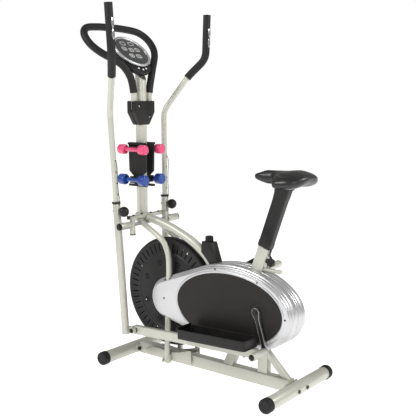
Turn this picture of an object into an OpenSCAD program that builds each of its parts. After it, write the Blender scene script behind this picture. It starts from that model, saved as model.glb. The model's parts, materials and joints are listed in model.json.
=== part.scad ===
// Upright cross trainer with a fan wheel, two swing arms, a saddle and a dumbbell rack.
// Millimetres. +Z is up, -X is the front, -Y is the rider's left.
// Distances along X in the sections below are counted from the front stabiliser's centre.

/* [Base] */
// Distance between the two stabiliser tubes
wheelbase = 880; // [860:1:900]
// Length of one stabiliser over its rubber caps
stabiliser_len = 492; // [440:2:560]
// Outer diameter of the stabiliser tubes
stabiliser_dia = 55.5; // [50:0.5:58]
// Width of the square-section base beam
beam_w = 40; // [36:1:44]
// Height of the base beam
beam_h = 50; // [44:1:54]

/* [Head and post] */
// Outer diameter of the upright post
post_dia = 49; // [46:1:50]
// Distance of the post behind the front stabiliser
post_x = 36; // [34:1:38]
// Height of the arm pivot axle
pivot_z = 634; // [632:1:636]
// Distance of the arm pivot axle behind the front stabiliser
pivot_x = 78; // [77:1:79]

/* [Fan wheel] */
// Radius of the fan wheel
wheel_r = 244; // [240:1:245]
// Height of the fan wheel's axle
wheel_z = 329; // [328:1:332]
// Half the width of the fan wheel over its side shells
wheel_half = 24; // [22:1:24]

/* [Cranks and pedal bars] */
// Crank radius, axle to pin
crank_r = 161; // [158:1:164]
// Angle of the left crank behind straight down, at rest
crank_rest = 17; // [14:1:19]
// Length of a pedal bar between its two joints
bar_len = 675; // [672:1:678]
// Height of the crank axle
crank_z = 334; // [332:1:336]

/* [Arms] */
// Outer diameter of the lower arm tubes
lower_arm_dia = 34; // [32:1:35]
// Outer diameter of the upper arm tubes and the handlebar
bar_dia = 25.4; // [24:0.2:25.4]
// Outward lean of each arm, in degrees
arm_splay = 1.7; // [1.5:0.1:1.8]
// Outer diameter of the foam grips on the arms
grip_dia = 35; // [32:1:38]

/* [Seat] */
// Backward lean of the seat tube, in degrees
seat_lean = 19.5; // [18:0.5:20]
// Half the width of the saddle at its widest
saddle_half = 112; // [95:1:120]

/* [Hidden] */
$fn = 48;

// The origin lies under the middle of the whole object, this far behind the front stabiliser.
origin_x = 385.7;

stab_r = stabiliser_dia / 2;
cap_r = stab_r + 2.25;
// Each cap stands on a narrow flat.
cap_flat = 0.8;
stab_z = cap_r - cap_flat;
cap_len = 32;
beam_low = 8;
beam_top = beam_low + beam_h;

post_r = post_dia / 2;
post_low = 670;

wheel_x = 213;
axle_r = 6;
chain_y = 28;
running = 0.05;

fork_y = 46;
cradle_y = 31.5;
tube_r = bar_dia / 2;
main_r = 19;

crank_x = 722;
crank_axle_r = 8;
crank_in = 67;
crank_out = 80;
plate_y = 62;

pivot_r = 8;
sleeve_r = 16;
sleeve_out = 191.7;
arm_back = 42;
arm_y = 160;
foot_x = -6;
foot_drop = 480;
knob_z = 64;
arm_r = lower_arm_dia / 2;
collar_top = 104;

// Side -1 is the rider's left, +1 the right. The right crank stands opposite the left one.
function crank_pin(side) = [crank_x - side * crank_r * sin(crank_rest),
                            crank_z + side * crank_r * cos(crank_rest)];

// Where an arm's foot joint lies: on the arm's circle about the pivot, one bar from the pin.
foot_r = norm([foot_x, foot_drop]);
function foot_joint(side) =
    let (pivot = [pivot_x, pivot_z],
         gap = crank_pin(side) - pivot,
         far = norm(gap),
         along = (foot_r * foot_r - bar_len * bar_len + far * far) / (2 * far),
         off = sqrt(foot_r * foot_r - along * along))
    pivot + along * gap / far + off * [gap[1], -gap[0]] / far;
function arm_tilt(side) =
    let (j = foot_joint(side) - [pivot_x, pivot_z])
    atan2(-foot_drop, foot_x) - atan2(j[1], j[0]);
function bar_slope(side) =
    let (d = crank_pin(side) - foot_joint(side)) atan2(d[1], d[0]);

paint = [0.80, 0.80, 0.75];
black = [0.12, 0.12, 0.13];
silver = [0.78, 0.78, 0.79];

// ---- Placing ----

module place() translate([-origin_x, 0, 0]) children();

// Parts of a pair are drawn on the right side, and mirrored for the left one.
module sided(side) {
    if (side < 0) mirror([0, 1, 0]) children();
    else children();
}

// A cylinder along Y, from y1 to y2.
module across(r, y1, y2) translate([0, y1, 0]) rotate([-90, 0, 0]) cylinder(r = r, h = y2 - y1);

// A shape drawn in the X-Z plane, given thickness along Y from y1 to y2.
module slab(y1, y2) translate([0, y2, 0]) rotate([90, 0, 0]) linear_extrude(y2 - y1) children();

module swing(side) translate([pivot_x, 0, pivot_z]) rotate([0, arm_tilt(side), 0]) children();

module on_bar(side) {
    j = foot_joint(side);
    translate([j[0], 0, j[1]]) rotate([0, -bar_slope(side), 0]) children();
}

module on_seat() translate([714, 0, 587]) rotate([0, seat_lean, 0]) children();

module on_console() translate([-13, 0, 1407]) rotate([0, 45, 0]) children();

// ---- Bent tubes ----

function unit(v) = v / norm(v);

// One rounded corner of a bent tube: a curve that starts and ends `cut` away from the corner.
function corner(a, b, c, cut, steps) =
    let (s = b + cut * unit(a - b), e = b + cut * unit(c - b))
    [for (i = [0:steps]) let (t = i / steps)
        (1 - t) * (1 - t) * s + 2 * t * (1 - t) * b + t * t * e];

function bent(pts, cut, steps = 6) = [
    pts[0],
    for (k = [1:len(pts) - 2]) each corner(pts[k - 1], pts[k], pts[k + 1], cut, steps),
    pts[len(pts) - 1]];

// A smooth curve through every one of the points.
function flow_at(p, k, t) =
    let (n = len(p) - 1,
         a = p[max(k - 1, 0)], b = p[k], c = p[min(k + 1, n)], d = p[min(k + 2, n)])
    0.5 * (2 * b + (c - a) * t + (2 * a - 5 * b + 4 * c - d) * t * t
           + (3 * b - a - 3 * c + d) * t * t * t);
function flowing(p, steps = 4) = [
    for (k = [0:len(p) - 2], i = [0:steps - 1]) flow_at(p, k, i / steps),
    p[len(p) - 1]];

function tangent(path, i) =
    unit(path[min(i + 1, len(path) - 1)] - path[max(i - 1, 0)]);

// A round tube's skin along a path. `side_dir` is any direction that the path never takes.
module sweep(path, r, side_dir, sides = 16) {
    rings = len(path);
    pts = [for (i = [0:rings - 1])
        let (t = tangent(path, i), n = unit(cross(t, side_dir)), b = cross(t, n))
        for (k = [0:sides - 1])
            path[i] + r * (cos(360 * k / sides) * n + sin(360 * k / sides) * b)];
    walls = [for (i = [0:rings - 2], k = [0:sides - 1])
        let (k2 = (k + 1) % sides)
        [i * sides + k, (i + 1) * sides + k, (i + 1) * sides + k2, i * sides + k2]];
    first = [for (k = [0:sides - 1]) k];
    last = [for (k = [sides - 1:-1:0]) (rings - 1) * sides + k];
    polyhedron(points = pts, faces = concat(walls, [first, last]), convexity = 6);
}

// ---- Base ----

bolt_y = 32;
bolt_r = 4;

module flange(x)
    difference() {
        translate([x, -46, 14]) cube([4, 92, 34]);
        for (s = [-1, 1])
            translate([x - 5, s * bolt_y, stab_z]) rotate([0, 90, 0]) cylinder(r = bolt_r + 0.2, h = 20);
    }

module wheel_cradle() {
    reach = wheel_r + 32;
    for (s = [-1, 1])
        difference() {
            slab(s * cradle_y - 1.5, s * cradle_y + 1.5)
                polygon([[70, 18], [348, 18], [348, 80], [170, 80], [150, 56], [125, 56], [70, 34]]);
            translate([wheel_x, 0, wheel_z]) across(reach, -60, 60);
        }
    for (plate = [[76, 16], [338, 44]])
        translate([plate[0], -cradle_y, 18]) cube([4, 2 * cradle_y, plate[1]]);
}

module base_beam() color(paint) place() {
    end = wheelbase - stab_r - 1;
    difference() {
        translate([stab_r + 1, -beam_w / 2, beam_low]) cube([end - stab_r - 1, beam_w, beam_h]);
        translate([stab_r + 5, -beam_w / 2 + 2, beam_low + 2])
            cube([end - stab_r - 9, beam_w - 4, beam_h - 4]);
    }
    flange(stab_r + 1);
    flange(end - 4);
    wheel_cradle();
    // The short post leans back to hold the cover's floor.
    slab(-15, 15) polygon([[512, beam_top - 4], [560, beam_top - 4], [612, 168], [564, 168]]);
}

module rear_frame() color(paint) place() {
    // The upright is notched at its top for the end of the main tube.
    slab(-15, 15)
        polygon([[693, beam_top], [741, beam_top], [741, crank_z - 21.5], [704, crank_z - 21.5],
                 [704, 305], [693, 305]]);
    slab(-12, 12) polygon([[741, 158], [741, 126], [812, beam_top], [846, beam_top]]);
}

module stabilisers() color(paint) place()
    for (x = [0, wheelbase])
        translate([x, 0, stab_z])
            difference() {
                across(stab_r, -stabiliser_len / 2 + 5, stabiliser_len / 2 - 5);
                across(stab_r - 2, -stabiliser_len, stabiliser_len);
                for (s = [-1, 1])
                    translate([-50, s * bolt_y, 0]) rotate([0, 90, 0]) cylinder(r = bolt_r + 0.2, h = 100);
            }

module stabiliser_caps() color(black) place()
    for (x = [0, wheelbase], s = [-1, 1])
        translate([x, 0, stab_z]) sided(s)
            difference() {
                across(cap_r, stabiliser_len / 2 - cap_len, stabiliser_len / 2);
                across(stab_r + 0.05, 0, stabiliser_len / 2 - 4.9);
                translate([-cap_r, 0, -cap_r]) cube([2 * cap_r, stabiliser_len, cap_flat]);
            }

module stabiliser_bolt(dir) {
    // dir is +1 where the bolt's head faces the rear.
    rotate([0, 90 * dir, 0]) {
        translate([0, 0, -stab_r - 14]) cylinder(r = bolt_r, h = 2 * stab_r + 15);
        translate([0, 0, -stab_r - 13]) cylinder(r = 8, h = 7.6);
        translate([0, 0, stab_r + 0.6]) cylinder(r = 8, h = 3);
    }
}

module cover_screws(side)
    sided(side)
        for (p = [[218, 309], [505, 481], [718, 455], [854, 322]])
            translate([p[0], 0, p[1]]) across(4, plate_y + 0.1, plate_y + 1.8);

module fasteners() color(black) place() {
    for (s = [-1, 1]) {
        translate([0, s * bolt_y, stab_z]) stabiliser_bolt(-1);
        translate([wheelbase, s * bolt_y, stab_z]) stabiliser_bolt(1);
    }
    for (s = [-1, 1]) {
        cover_screws(s);
        translate([pivot_x, 0, pivot_z]) sided(s) across(sleeve_r, 192, 197);
    }
}

// ---- Fork, main tube and head ----

fork_path = [[48, fork_y, 651], [162, fork_y, 590], [208, fork_y, 562],
             [234, fork_y, 505], [236, fork_y, 440], [219, fork_y, 8]];
yoke_low = 656;
yoke_top = 669.8;
yoke_front = 48;
yoke_back = 72;

module fork(side) color(paint) place() sided(side) {
    difference() {
        union() {
            sweep(bent(fork_path, 24, 4), tube_r, [0, 1, 0]);
            // The drop-out plate that carries the wheel's axle
            translate([wheel_x - 16, fork_y - 3, wheel_z - 18]) cube([30, 6, 36]);
            // Two crosswise gussets tie the foot to the wheel cradle's side.
            for (x = [203, 232])
                translate([x, 0, 0]) rotate([90, 0, 90]) linear_extrude(4)
                    polygon([[cradle_y + 1.6, 8], [64, 8], [64, 18], [42, 46], [cradle_y + 1.6, 46]]);
        }
        translate([wheel_x, 0, wheel_z]) across(axle_r + 0.02, 0, 100);
        translate([pivot_x, 0, pivot_z]) across(pivot_r + 0.02, 0, 100);
        translate([0, 0, yoke_low - 0.05]) cube([200, 100, 50]);
        translate([100, 0, -40]) cube([200, 100, 48]);
    }
}

module fork_left() fork(-1);
module fork_right() fork(1);

main_points = [[60, 0, 653], [132, 0, 642], [200, 0, 624], [261, 0, 602], [322, 0, 576],
               [375, 0, 544], [418, 0, 508], [451, 0, 460], [480, 0, 410], [500, 0, 362],
               [530, 0, 318], [590, 0, 300], [698, 0, 330]];

module main_tube() color(paint) place()
    difference() {
        sweep(flowing(main_points), main_r, [0, 1, 0]);
        translate([crank_x, 0, crank_z]) across(21.3, -30, 30);
        translate([pivot_x, 0, pivot_z]) across(pivot_r + 0.02, -30, 30);
        translate([0, -50, 600]) cube([yoke_back + 0.05, 100, 100]);
    }

module head_yoke() color(paint) place()
    difference() {
        union() {
            translate([yoke_front, -112, yoke_low]) cube([yoke_back - yoke_front, 224, yoke_top - yoke_low]);
            translate([post_x, 0, 636]) cylinder(r = 33, h = yoke_top - 636);
            for (s = [-1, 1])
                translate([pivot_x, s * 110, 590]) cylinder(r = 12.5, h = yoke_top - 590);
        }
        translate([pivot_x, 0, pivot_z]) across(pivot_r + 0.02, -150, 150);
    }

module pivot_axle() color("silver") place()
    translate([pivot_x, 0, pivot_z]) across(pivot_r, -191.9, 191.9);

module front_post() color(paint) place()
    difference() {
        translate([post_x, 0, post_low]) cylinder(r = post_r, h = 660);
        translate([post_x, 0, post_low + 4]) cylinder(r = post_r - 2, h = 660);
        // The console's sloping back closes the top.
        on_console() translate([-300, -100, -42.4]) cube([600, 200, 200]);
    }

// ---- Boot, handlebar and console ----

leg_y = 50;
leg_x = 40;

module boot_shell(x1, x2)
    difference() {
        translate([x1, 0, 0]) rotate([90, 0, 90]) linear_extrude(x2 - x1)
            polygon([[-64, 1182], [-64, 1130], [-28, 1075], [28, 1075], [64, 1130], [64, 1182]]);
        translate([post_x, 0, 1000]) cylinder(r = post_r + 0.1, h = 300);
        for (s = [-1, 1])
            translate([leg_x, s * leg_y, 1142]) cylinder(r = tube_r + 0.6, h = 80);
    }

module boot() color(black) place() {
    boot_shell(post_x - 27, post_x - 0.1);
    boot_shell(post_x + 0.1, post_x + 27);
}

// One half of the handlebar's loop, from its leg to the middle of its front.
loop_half = [[leg_x, leg_y, 1144], [leg_x, leg_y, 1190], [40, 54, 1236], [37, 70, 1290],
             [21, 100, 1337], [-6, 138, 1366], [-38, 178, 1394], [-72, 205, 1430],
             [-108, 203, 1472], [-134, 165, 1502], [-144, 90, 1512]];
loop_points = concat(loop_half, [[-146, 0, 1514]],
                     [for (i = [len(loop_half) - 1:-1:0]) [loop_half[i][0], -loop_half[i][1], loop_half[i][2]]]);
loop_dir = [1, 0, 1];
foam_bore = 0.35;

module handlebar() color(paint) place()
    sweep(flowing(loop_points, 3), tube_r, loop_dir);

function part_of(path, first, last) = [for (i = [first:last]) path[i]];

module handlebar_foam() color(black) place() {
    path = flowing(loop_points, 3);
    foam = part_of(path, 5, len(path) - 6);
    difference() {
        sweep(foam, 16.5, loop_dir);
        sweep(part_of(path, 4, len(path) - 5), tube_r + foam_bore, loop_dir);
    }
}

function oval(a, b, n = 60) = [for (i = [0:n - 1]) [a * cos(360 * i / n), b * sin(360 * i / n)]];

bezel_a = 94;
bezel_b = 100;
button_places = [[100, -24], [107, 0], [100, 24]];

module console_housing() color(black) place() on_console()
    difference() {
        union() {
            translate([0, 0, -42]) linear_extrude(31.8) polygon(oval(bezel_a - 3, bezel_b - 3));
            translate([0, 0, -42]) linear_extrude(27)
                polygon([[20, -86], [70, -72], [108, -48], [124, -26], [127, 0],
                         [124, 26], [108, 48], [70, 72], [20, 86]]);
        }
        translate([0, 0, -38]) linear_extrude(60) polygon(oval(bezel_a - 14, bezel_b - 14));
        for (p = button_places) translate([p[0], p[1], -34]) cylinder(r = 5.4, h = 60);
    }

module console_bezel() color(silver) place() on_console()
    translate([0, 0, -10])
        difference() {
            linear_extrude(10) polygon(oval(bezel_a, bezel_b));
            translate([0, 0, -1]) linear_extrude(20) polygon(oval(bezel_a - 13, bezel_b - 13));
        }

module console_lens() color([0.25, 0.27, 0.28]) place() on_console()
    translate([0, 0, -9]) linear_extrude(6) polygon(oval(bezel_a - 13.3, bezel_b - 13.3));

module button(k) color("white") place() on_console()
    translate([button_places[k][0], button_places[k][1], -20]) cylinder(r = 5, h = 8.5);

module button_left() button(0);
module button_middle() button(1);
module button_right() button(2);

// ---- Dumbbells and their rack ----

rack_in = 24.8;
rack_out = 30;
bell_y = 56;
bell_x = 34;
upper_bell_z = 965;
lower_bell_z = 828;
handle_r = 10;

module bell_clip(z)
    difference() {
        translate([post_x - 24, rack_out - 1, z - 15]) cube([48, 25, 30]);
        translate([0, bell_y, z]) rotate([0, 90, 0]) cylinder(r = handle_r + 0.4, h = 100);
    }

module rack(side) sided(side)
    difference() {
        union() {
            slab(rack_in - 6, rack_out) translate([post_x, 0])
                polygon([[-53, 990], [53, 990], [50, 866], [22, 842], [20, 806], [54, 806],
                         [54, 796], [-54, 796], [-54, 806], [-20, 806], [-22, 842], [-50, 866]]);
            translate([post_x - 46, rack_in - 6, 986]) cube([92, 24, 10]);
            bell_clip(upper_bell_z);
            bell_clip(lower_bell_z);
        }
        translate([post_x, 0, 700]) cylinder(r = post_r + 0.1, h = 400);
    }

module dumbbell_racks() color(black) place() {
    rack(-1);
    rack(1);
}

module dumbbell(side, z, head_r) place() sided(side)
    translate([bell_x, bell_y, z]) rotate([0, 90, 0]) {
        translate([0, 0, -62]) cylinder(r = handle_r, h = 124);
        for (s = [-1, 1])
            translate([0, 0, s * 61 - 19]) cylinder(r = head_r, h = 38);
    }

module upper_dumbbell_left() color([0.90, 0.25, 0.45]) dumbbell(-1, upper_bell_z, 23);
module upper_dumbbell_right() color([0.90, 0.25, 0.45]) dumbbell(1, upper_bell_z, 23);
module lower_dumbbell_left() color([0.05, 0.18, 0.55]) dumbbell(-1, lower_bell_z, 25);
module lower_dumbbell_right() color([0.05, 0.18, 0.55]) dumbbell(1, lower_bell_z, 25);

// ---- Chain cover ----

cover_x = 586;
cover_z = 326;
nose_x = 228;
nose_z = 307;
nose_r = 95;

// The cover's outline seen from the side: a round nose drawn out into a long oval.
module cover_outline()
    hull() {
        translate([nose_x, nose_z]) circle(r = nose_r, $fn = 64);
        translate([cover_x, cover_z]) rotate(-2) polygon(oval(302, 180, 96));
    }

module cover_steps(inset) {
    slab(0.15, 46 - inset) offset(delta = -inset) cover_outline();
    slab(0.15, 55 - inset) offset(delta = -inset - 6) cover_outline();
    slab(0.15, plate_y - inset) offset(delta = -inset - 14) cover_outline();
}

module cover(side) color(silver) place() sided(side)
    difference() {
        cover_steps(0);
        translate([0, -0.2, 0]) cover_steps(2.5);
        translate([wheel_x, 0, wheel_z]) across(wheel_r + 7, -1, 31);
        // Ways through for the fork leg, the frame tubes and the crank axle
        translate([fork_path[3][0] - 32, -1, 80]) cube([50, 32 + fork_y - 18, 150]);
        translate([fork_path[3][0] - 19, -1, 380]) cube([40, 32 + fork_y - 18, 100]);
        translate([0, 0.1, 0]) sweep(flowing(main_points), main_r + 1, [0, 1, 0]);
        translate([689, -1, 100]) cube([56, 17, 200]);
        slab(-1, 16) polygon([[530, 100], [590, 100], [630, 200], [560, 200]]);
        slab(-1, 19.2) offset(delta = 0.2) tension_outline();
        on_seat() translate([-26, -1, -160]) cube([52, 17, 300]);
        translate([crank_x, 0, crank_z]) across(12, -1, 100);
    }

module cover_left() cover(-1);
module cover_right() cover(1);

module oval_plates() color(black) place()
    for (s = [-1, 1])
        sided(s)
            difference() {
                translate([569, 0, 320]) slab(plate_y + 0.1, plate_y + 2.2) polygon(oval(271, 149, 90));
                translate([crank_x, 0, crank_z]) across(12, 0, 100);
            }

// ---- Drive ----

ring_r = 85;
sprocket_r = 27;

module chain() color([0.3, 0.3, 0.3]) place()
    slab(chain_y - 2.8, chain_y + 2.8)
        difference() {
            hull() {
                translate([crank_x, crank_z]) circle(r = ring_r + 6.5, $fn = 64);
                translate([wheel_x, wheel_z]) circle(r = sprocket_r + 6.5, $fn = 32);
            }
            hull() {
                translate([crank_x, crank_z]) circle(r = ring_r + 0.8, $fn = 64);
                translate([wheel_x, wheel_z]) circle(r = sprocket_r + 0.8, $fn = 32);
            }
        }

module bottom_bracket() color("silver") place()
    translate([crank_x, 0, crank_z])
        difference() {
            across(21, -24, 24);
            across(16, -16, 16);
            across(crank_axle_r + running, -30, 30);
        }

module crank_axle() color("silver") place()
    translate([crank_x, 0, crank_z]) across(crank_axle_r, -crank_out, crank_out);

module chainring() color("silver") place()
    translate([crank_x, 0, crank_z])
        difference() {
            union() {
                across(ring_r, chain_y - 1.5, chain_y + 1.5);
                across(20, chain_y - 3, chain_y + 8);
            }
            across(crank_axle_r + 0.02, 0, 60);
            for (k = [0:4])
                rotate([0, 72 * k, 0]) translate([50, 0, 0]) across(18, 0, 60);
        }

module crank(side) color([0.35, 0.35, 0.36]) place()
    translate([crank_x, 0, crank_z]) rotate([0, side < 0 ? -crank_rest : 180 - crank_rest, 0])
        sided(side)
            difference() {
                union() {
                    across(19, crank_in, crank_out);
                    translate([-11, crank_in, -crank_r]) cube([22, crank_out - crank_in, crank_r]);
                    translate([0, 0, -crank_r]) across(14, crank_in, crank_out);
                }
                across(crank_axle_r + 0.02, 0, 200);
            }

module crank_left() crank(-1);
module crank_right() crank(1);

module wheel_axle() color("silver") place()
    translate([wheel_x, 0, wheel_z]) across(axle_r, -53, 53);

module fan_wheel() color([0.15, 0.15, 0.16]) place()
    translate([wheel_x, 0, wheel_z])
        difference() {
            union() {
                across(34, -wheel_half + 4.05, wheel_half - 4.05);
                across(17, -wheel_half - 4, chain_y + 2);
                across(sprocket_r, chain_y - 1.5, chain_y + 1.5);
                difference() {
                    across(wheel_r - 4, -16, 16);
                    across(wheel_r - 8, -20, 20);
                }
                for (k = [0:17])
                    rotate([0, 20 * k, 0]) translate([30, -14.5, -1.2]) cube([wheel_r - 36, 29, 2.4]);
            }
            across(axle_r + running, -60, 60);
        }

module wheel_shell(side) sided(side)
    difference() {
        across(wheel_r, wheel_half - 4, wheel_half);
        across(17.5, 0, 60);
        for (k = [0:23])
            rotate([0, 15 * k, 0]) translate([186, 0, -3]) cube([38, 60, 6]);
    }

module wheel_shells() color(black) place()
    translate([wheel_x, 0, wheel_z])
        for (s = [-1, 1]) wheel_shell(s);

module brake_belt() color([0.2, 0.2, 0.2]) place()
    translate([wheel_x, 0, wheel_z]) rotate([90, 0, 0]) rotate(46)
        rotate_extrude(angle = 318, $fn = 120) translate([wheel_r + 2, -9]) square([1.5, 18]);

// ---- Resistance unit ----

module tension_outline()
    polygon([[400, 582], [454, 582], [482, 500], [462, 466], [424, 506], [396, 536]]);

module tension_housing() color(black) place()
    difference() {
        slab(-19, 19) tension_outline();
        sweep(flowing(main_points), main_r + 0.3, [0, 1, 0]);
    }

module tension_knob() color(black) place()
    translate([427, 0, 582.4]) {
        cylinder(r = 17, h = 24);
        for (k = [0:9])
            rotate(36 * k) translate([16, -2, 2]) cube([3, 4, 20]);
    }

// ---- Seat ----

clamp_z = -44;
stem_r = 6;
stub_z = -86;

module seat_tube() color(paint) place() on_seat()
    difference() {
        union() {
            translate([-25, -15, -255]) cube([50, 30, 343]);
            // The stub behind the tube lies level over the cover.
            translate([24, 0, stub_z]) rotate([0, 90 - seat_lean, 0]) cylinder(r = 8, h = 88);
        }
        translate([-23.4, -13.4, -240]) cube([46.8, 26.8, 400]);
        translate([0, 0, clamp_z]) rotate([0, 90, 0]) cylinder(r = stem_r + 0.06, h = 60);
    }

module seat_post() color("silver") place() on_seat() {
    difference() {
        translate([-23, -13, -100]) cube([46, 26, 356]);
        translate([-21, -11, -104]) cube([42, 22, 340]);
    }
    head_block(0);
}

// The level block under the saddle, grown all round by a gap
module head_block(gap)
    translate([-30, -22, 256.2]) rotate([0, -seat_lean, 0])
        translate([-gap, -gap, -6]) cube([66 + 2 * gap, 44 + 2 * gap, 21.3 + gap]);

module seat_sleeve() color(black) place() on_seat()
    difference() {
        translate([-29, -20, 7]) cube([58, 40, 243]);
        translate([-25.5, -15.5, 0]) cube([51, 31, 244]);
        translate([-23.1, -13.1, 200]) cube([46.2, 26.2, 100]);
    }

module saddle() color(black) place()
    difference() {
        hull() {
            translate([678, 0, 878]) sphere(r = 24, $fn = 32);
            translate([760, 0, 886]) sphere(r = 26, $fn = 32);
            for (s = [-1, 1]) {
                translate([880, s * (saddle_half - 32), 883]) sphere(r = 32, $fn = 32);
                translate([905, s * 56, 884]) sphere(r = 29, $fn = 32);
            }
        }
        on_seat() head_block(0.05);
    }

module seat_knob() color(black) place() on_seat()
    translate([0, 0, clamp_z]) rotate([0, 90, 0]) {
        translate([0, 0, 23.8]) cylinder(r = stem_r, h = 20);
        translate([0, 0, 27]) cylinder(r = 11, h = 12);
        translate([0, 0, 38.9]) cylinder(r1 = 19, r2 = 16, h = 24);
    }

// ---- Swing arms ----

// The arm tube's centre line: behind its pivot sleeve, leaning outwards.
module on_arm() translate([-arm_back, arm_y, 0]) rotate([-arm_splay, 0, 0]) children();

module lower_arm(side) color(paint) place() swing(side) sided(side) {
    difference() {
        union() {
            on_arm() translate([0, 0, -498]) cylinder(r = arm_r, h = 498 + collar_top);
            across(sleeve_r, 123.2, sleeve_out);
            translate([-arm_back + 10, 146, -13]) cube([28, 28, 26]);
            translate([-arm_back + 8, 128.5, -foot_drop - 15]) cube([30, 12, 30]);
            translate([foot_x, 0, -foot_drop]) across(15, 128.5, 140.5);
        }
        on_arm() {
            translate([0, 0, collar_top - 40]) cylinder(r = tube_r + 0.06, h = 60);
            translate([0, 0, -480]) cylinder(r = tube_r + 0.9, h = 480 + collar_top - 39);
            translate([-40, 0, knob_z]) rotate([0, 90, 0]) cylinder(r = 4.06, h = 80);
        }
        across(pivot_r + running, 100, 220);
    }
    // The stud that the pedal bar turns on, and its cap
    translate([foot_x, 0, -foot_drop]) {
        across(6, 103, 130);
        across(13, 140, 146);
    }
}

module lower_arm_left() lower_arm(-1);
module lower_arm_right() lower_arm(1);

knob_travel = 60;
arm_low = -34;
upper_points = [[0, 0, arm_low], [0, 0, 500], [95, 67, 660], [158, 123, 742], [164, 128, 938]];
grip_start = 7;
arm_dir = [1, -1, 0];

module upper_arm(side) color(paint) place() swing(side) sided(side) on_arm()
    difference() {
        sweep(bent(upper_points, 34), tube_r, arm_dir, 24);
        // The slot that the clamp bolt runs in while the handle is set higher
        translate([-40, -4.4, knob_z - knob_travel - 5]) cube([80, 8.8, knob_travel + 10]);
        translate([0, 0, arm_low - 2]) cylinder(r = tube_r - 2, h = 200);
    }

module upper_arm_left() upper_arm(-1);
module upper_arm_right() upper_arm(1);

module grip(side) color(black) place() swing(side) sided(side) on_arm() {
    path = bent(upper_points, 34);
    last = len(path) - 1;
    up = unit(path[last] - path[last - 1]);
    foam = concat([for (i = [10:last - 1]) path[i]], [path[last] + 5 * up]);
    bore = concat([for (i = [8:last - 1]) path[i]], [path[last] + 0.6 * up]);
    difference() {
        sweep(foam, grip_dia / 2, arm_dir, 24);
        sweep(bore, tube_r + foam_bore, arm_dir, 24);
    }
}

module grip_left() grip(-1);
module grip_right() grip(1);

module arm_knob(side) color(black) place() swing(side) sided(side) on_arm()
    translate([0, 0, knob_z]) rotate([0, 90, 0]) {
        translate([0, 0, -arm_r - 7]) cylinder(r = 4, h = 2 * arm_r + 16);
        translate([0, 0, arm_r + 0.4]) cylinder(r = 9, h = 6);
        translate([0, 0, arm_r + 25.5]) sphere(r = 23);
    }

module arm_knob_left() arm_knob(-1);
module arm_knob_right() arm_knob(1);

// ---- Pedal bars ----

bar_in = 104;
bar_out = 126;
bar_half = 20;

module pedal_bar(side) color(paint) place() on_bar(side) sided(side) {
    difference() {
        union() {
            across(bar_half, bar_in, bar_out);
            translate([0, bar_in, -bar_half]) cube([bar_len - 8, bar_out - bar_in, 2 * bar_half]);
        }
        across(6 + running, 90, 140);
    }
    translate([bar_len, 0, 0]) across(sleeve_r, crank_out + 0.5, 171);
}

module pedal_bar_left() pedal_bar(-1);
module pedal_bar_right() pedal_bar(1);

tray_in = 84;
tray_out = 184;
tray_start = 300;
tray_len = 350;
tray_wall = 42;

module foot_plate(side) color(black) place() on_bar(side) sided(side)
    translate([tray_start, 0, bar_half + 0.1]) {
        difference() {
            translate([0, tray_in, 0]) cube([tray_len, tray_out - tray_in, tray_wall]);
            translate([5, tray_in + 4, 5]) cube([tray_len - 10, tray_out - tray_in - 8, 60]);
        }
        translate([0, tray_in, 0]) cube([5, tray_out - tray_in, tray_wall + 7]);
    }

module foot_plate_left() foot_plate(-1);
module foot_plate_right() foot_plate(1);

// ---- Pulse sensor leads ----

// Each lead starts beside the upper tube, hangs along it and ends on the lower tube's collar.
lead_points = [[14.6, 0, 292], [19, 2, 284], [23, 3, 262], [21, 2, 220], [19, 2, 170],
               [21, 2, 140], [23, 1, 118], [20, 0, 102], [18.6, 0, 92]];

module pulse_lead(side) color(black) place() swing(side) sided(side) on_arm()
    sweep(flowing(lead_points), 1.3, [0, 1, 0], 8);

module pulse_lead_left() pulse_lead(-1);
module pulse_lead_right() pulse_lead(1);

// ---- Nodes ----

base_beam();
rear_frame();
stabilisers();
stabiliser_caps();
fasteners();
fork_left();
fork_right();
main_tube();
head_yoke();
pivot_axle();
front_post();
boot();
handlebar();
handlebar_foam();
console_housing();
console_bezel();
console_lens();
button_left();
button_middle();
button_right();
dumbbell_racks();
upper_dumbbell_left();
upper_dumbbell_right();
lower_dumbbell_left();
lower_dumbbell_right();
cover_left();
cover_right();
oval_plates();
chain();
bottom_bracket();
brake_belt();
tension_housing();
tension_knob();
seat_tube();
seat_post();
seat_sleeve();
saddle();
seat_knob();
chainring();
crank_axle();
crank_left();
crank_right();
fan_wheel();
wheel_shells();
wheel_axle();
lower_arm_left();
lower_arm_right();
upper_arm_left();
upper_arm_right();
grip_left();
grip_right();
arm_knob_left();
arm_knob_right();
pedal_bar_left();
pedal_bar_right();
foot_plate_left();
foot_plate_right();
pulse_lead_left();
pulse_lead_right();
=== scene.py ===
# %% [markdown]
# # An elliptical trainer
# The frame, its joints and its sizes come from the CAD model. This file gives the machine its looks:
# rounded edges, bent tubes, a blown-up saddle, moulded covers and a finish for every surface.
# The first cell loads the frame.

# %% Load the frame
import json
from math import atan2, cos, hypot, pi, radians, sin

import bmesh
import bpy
from mathutils import Matrix, Vector

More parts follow.
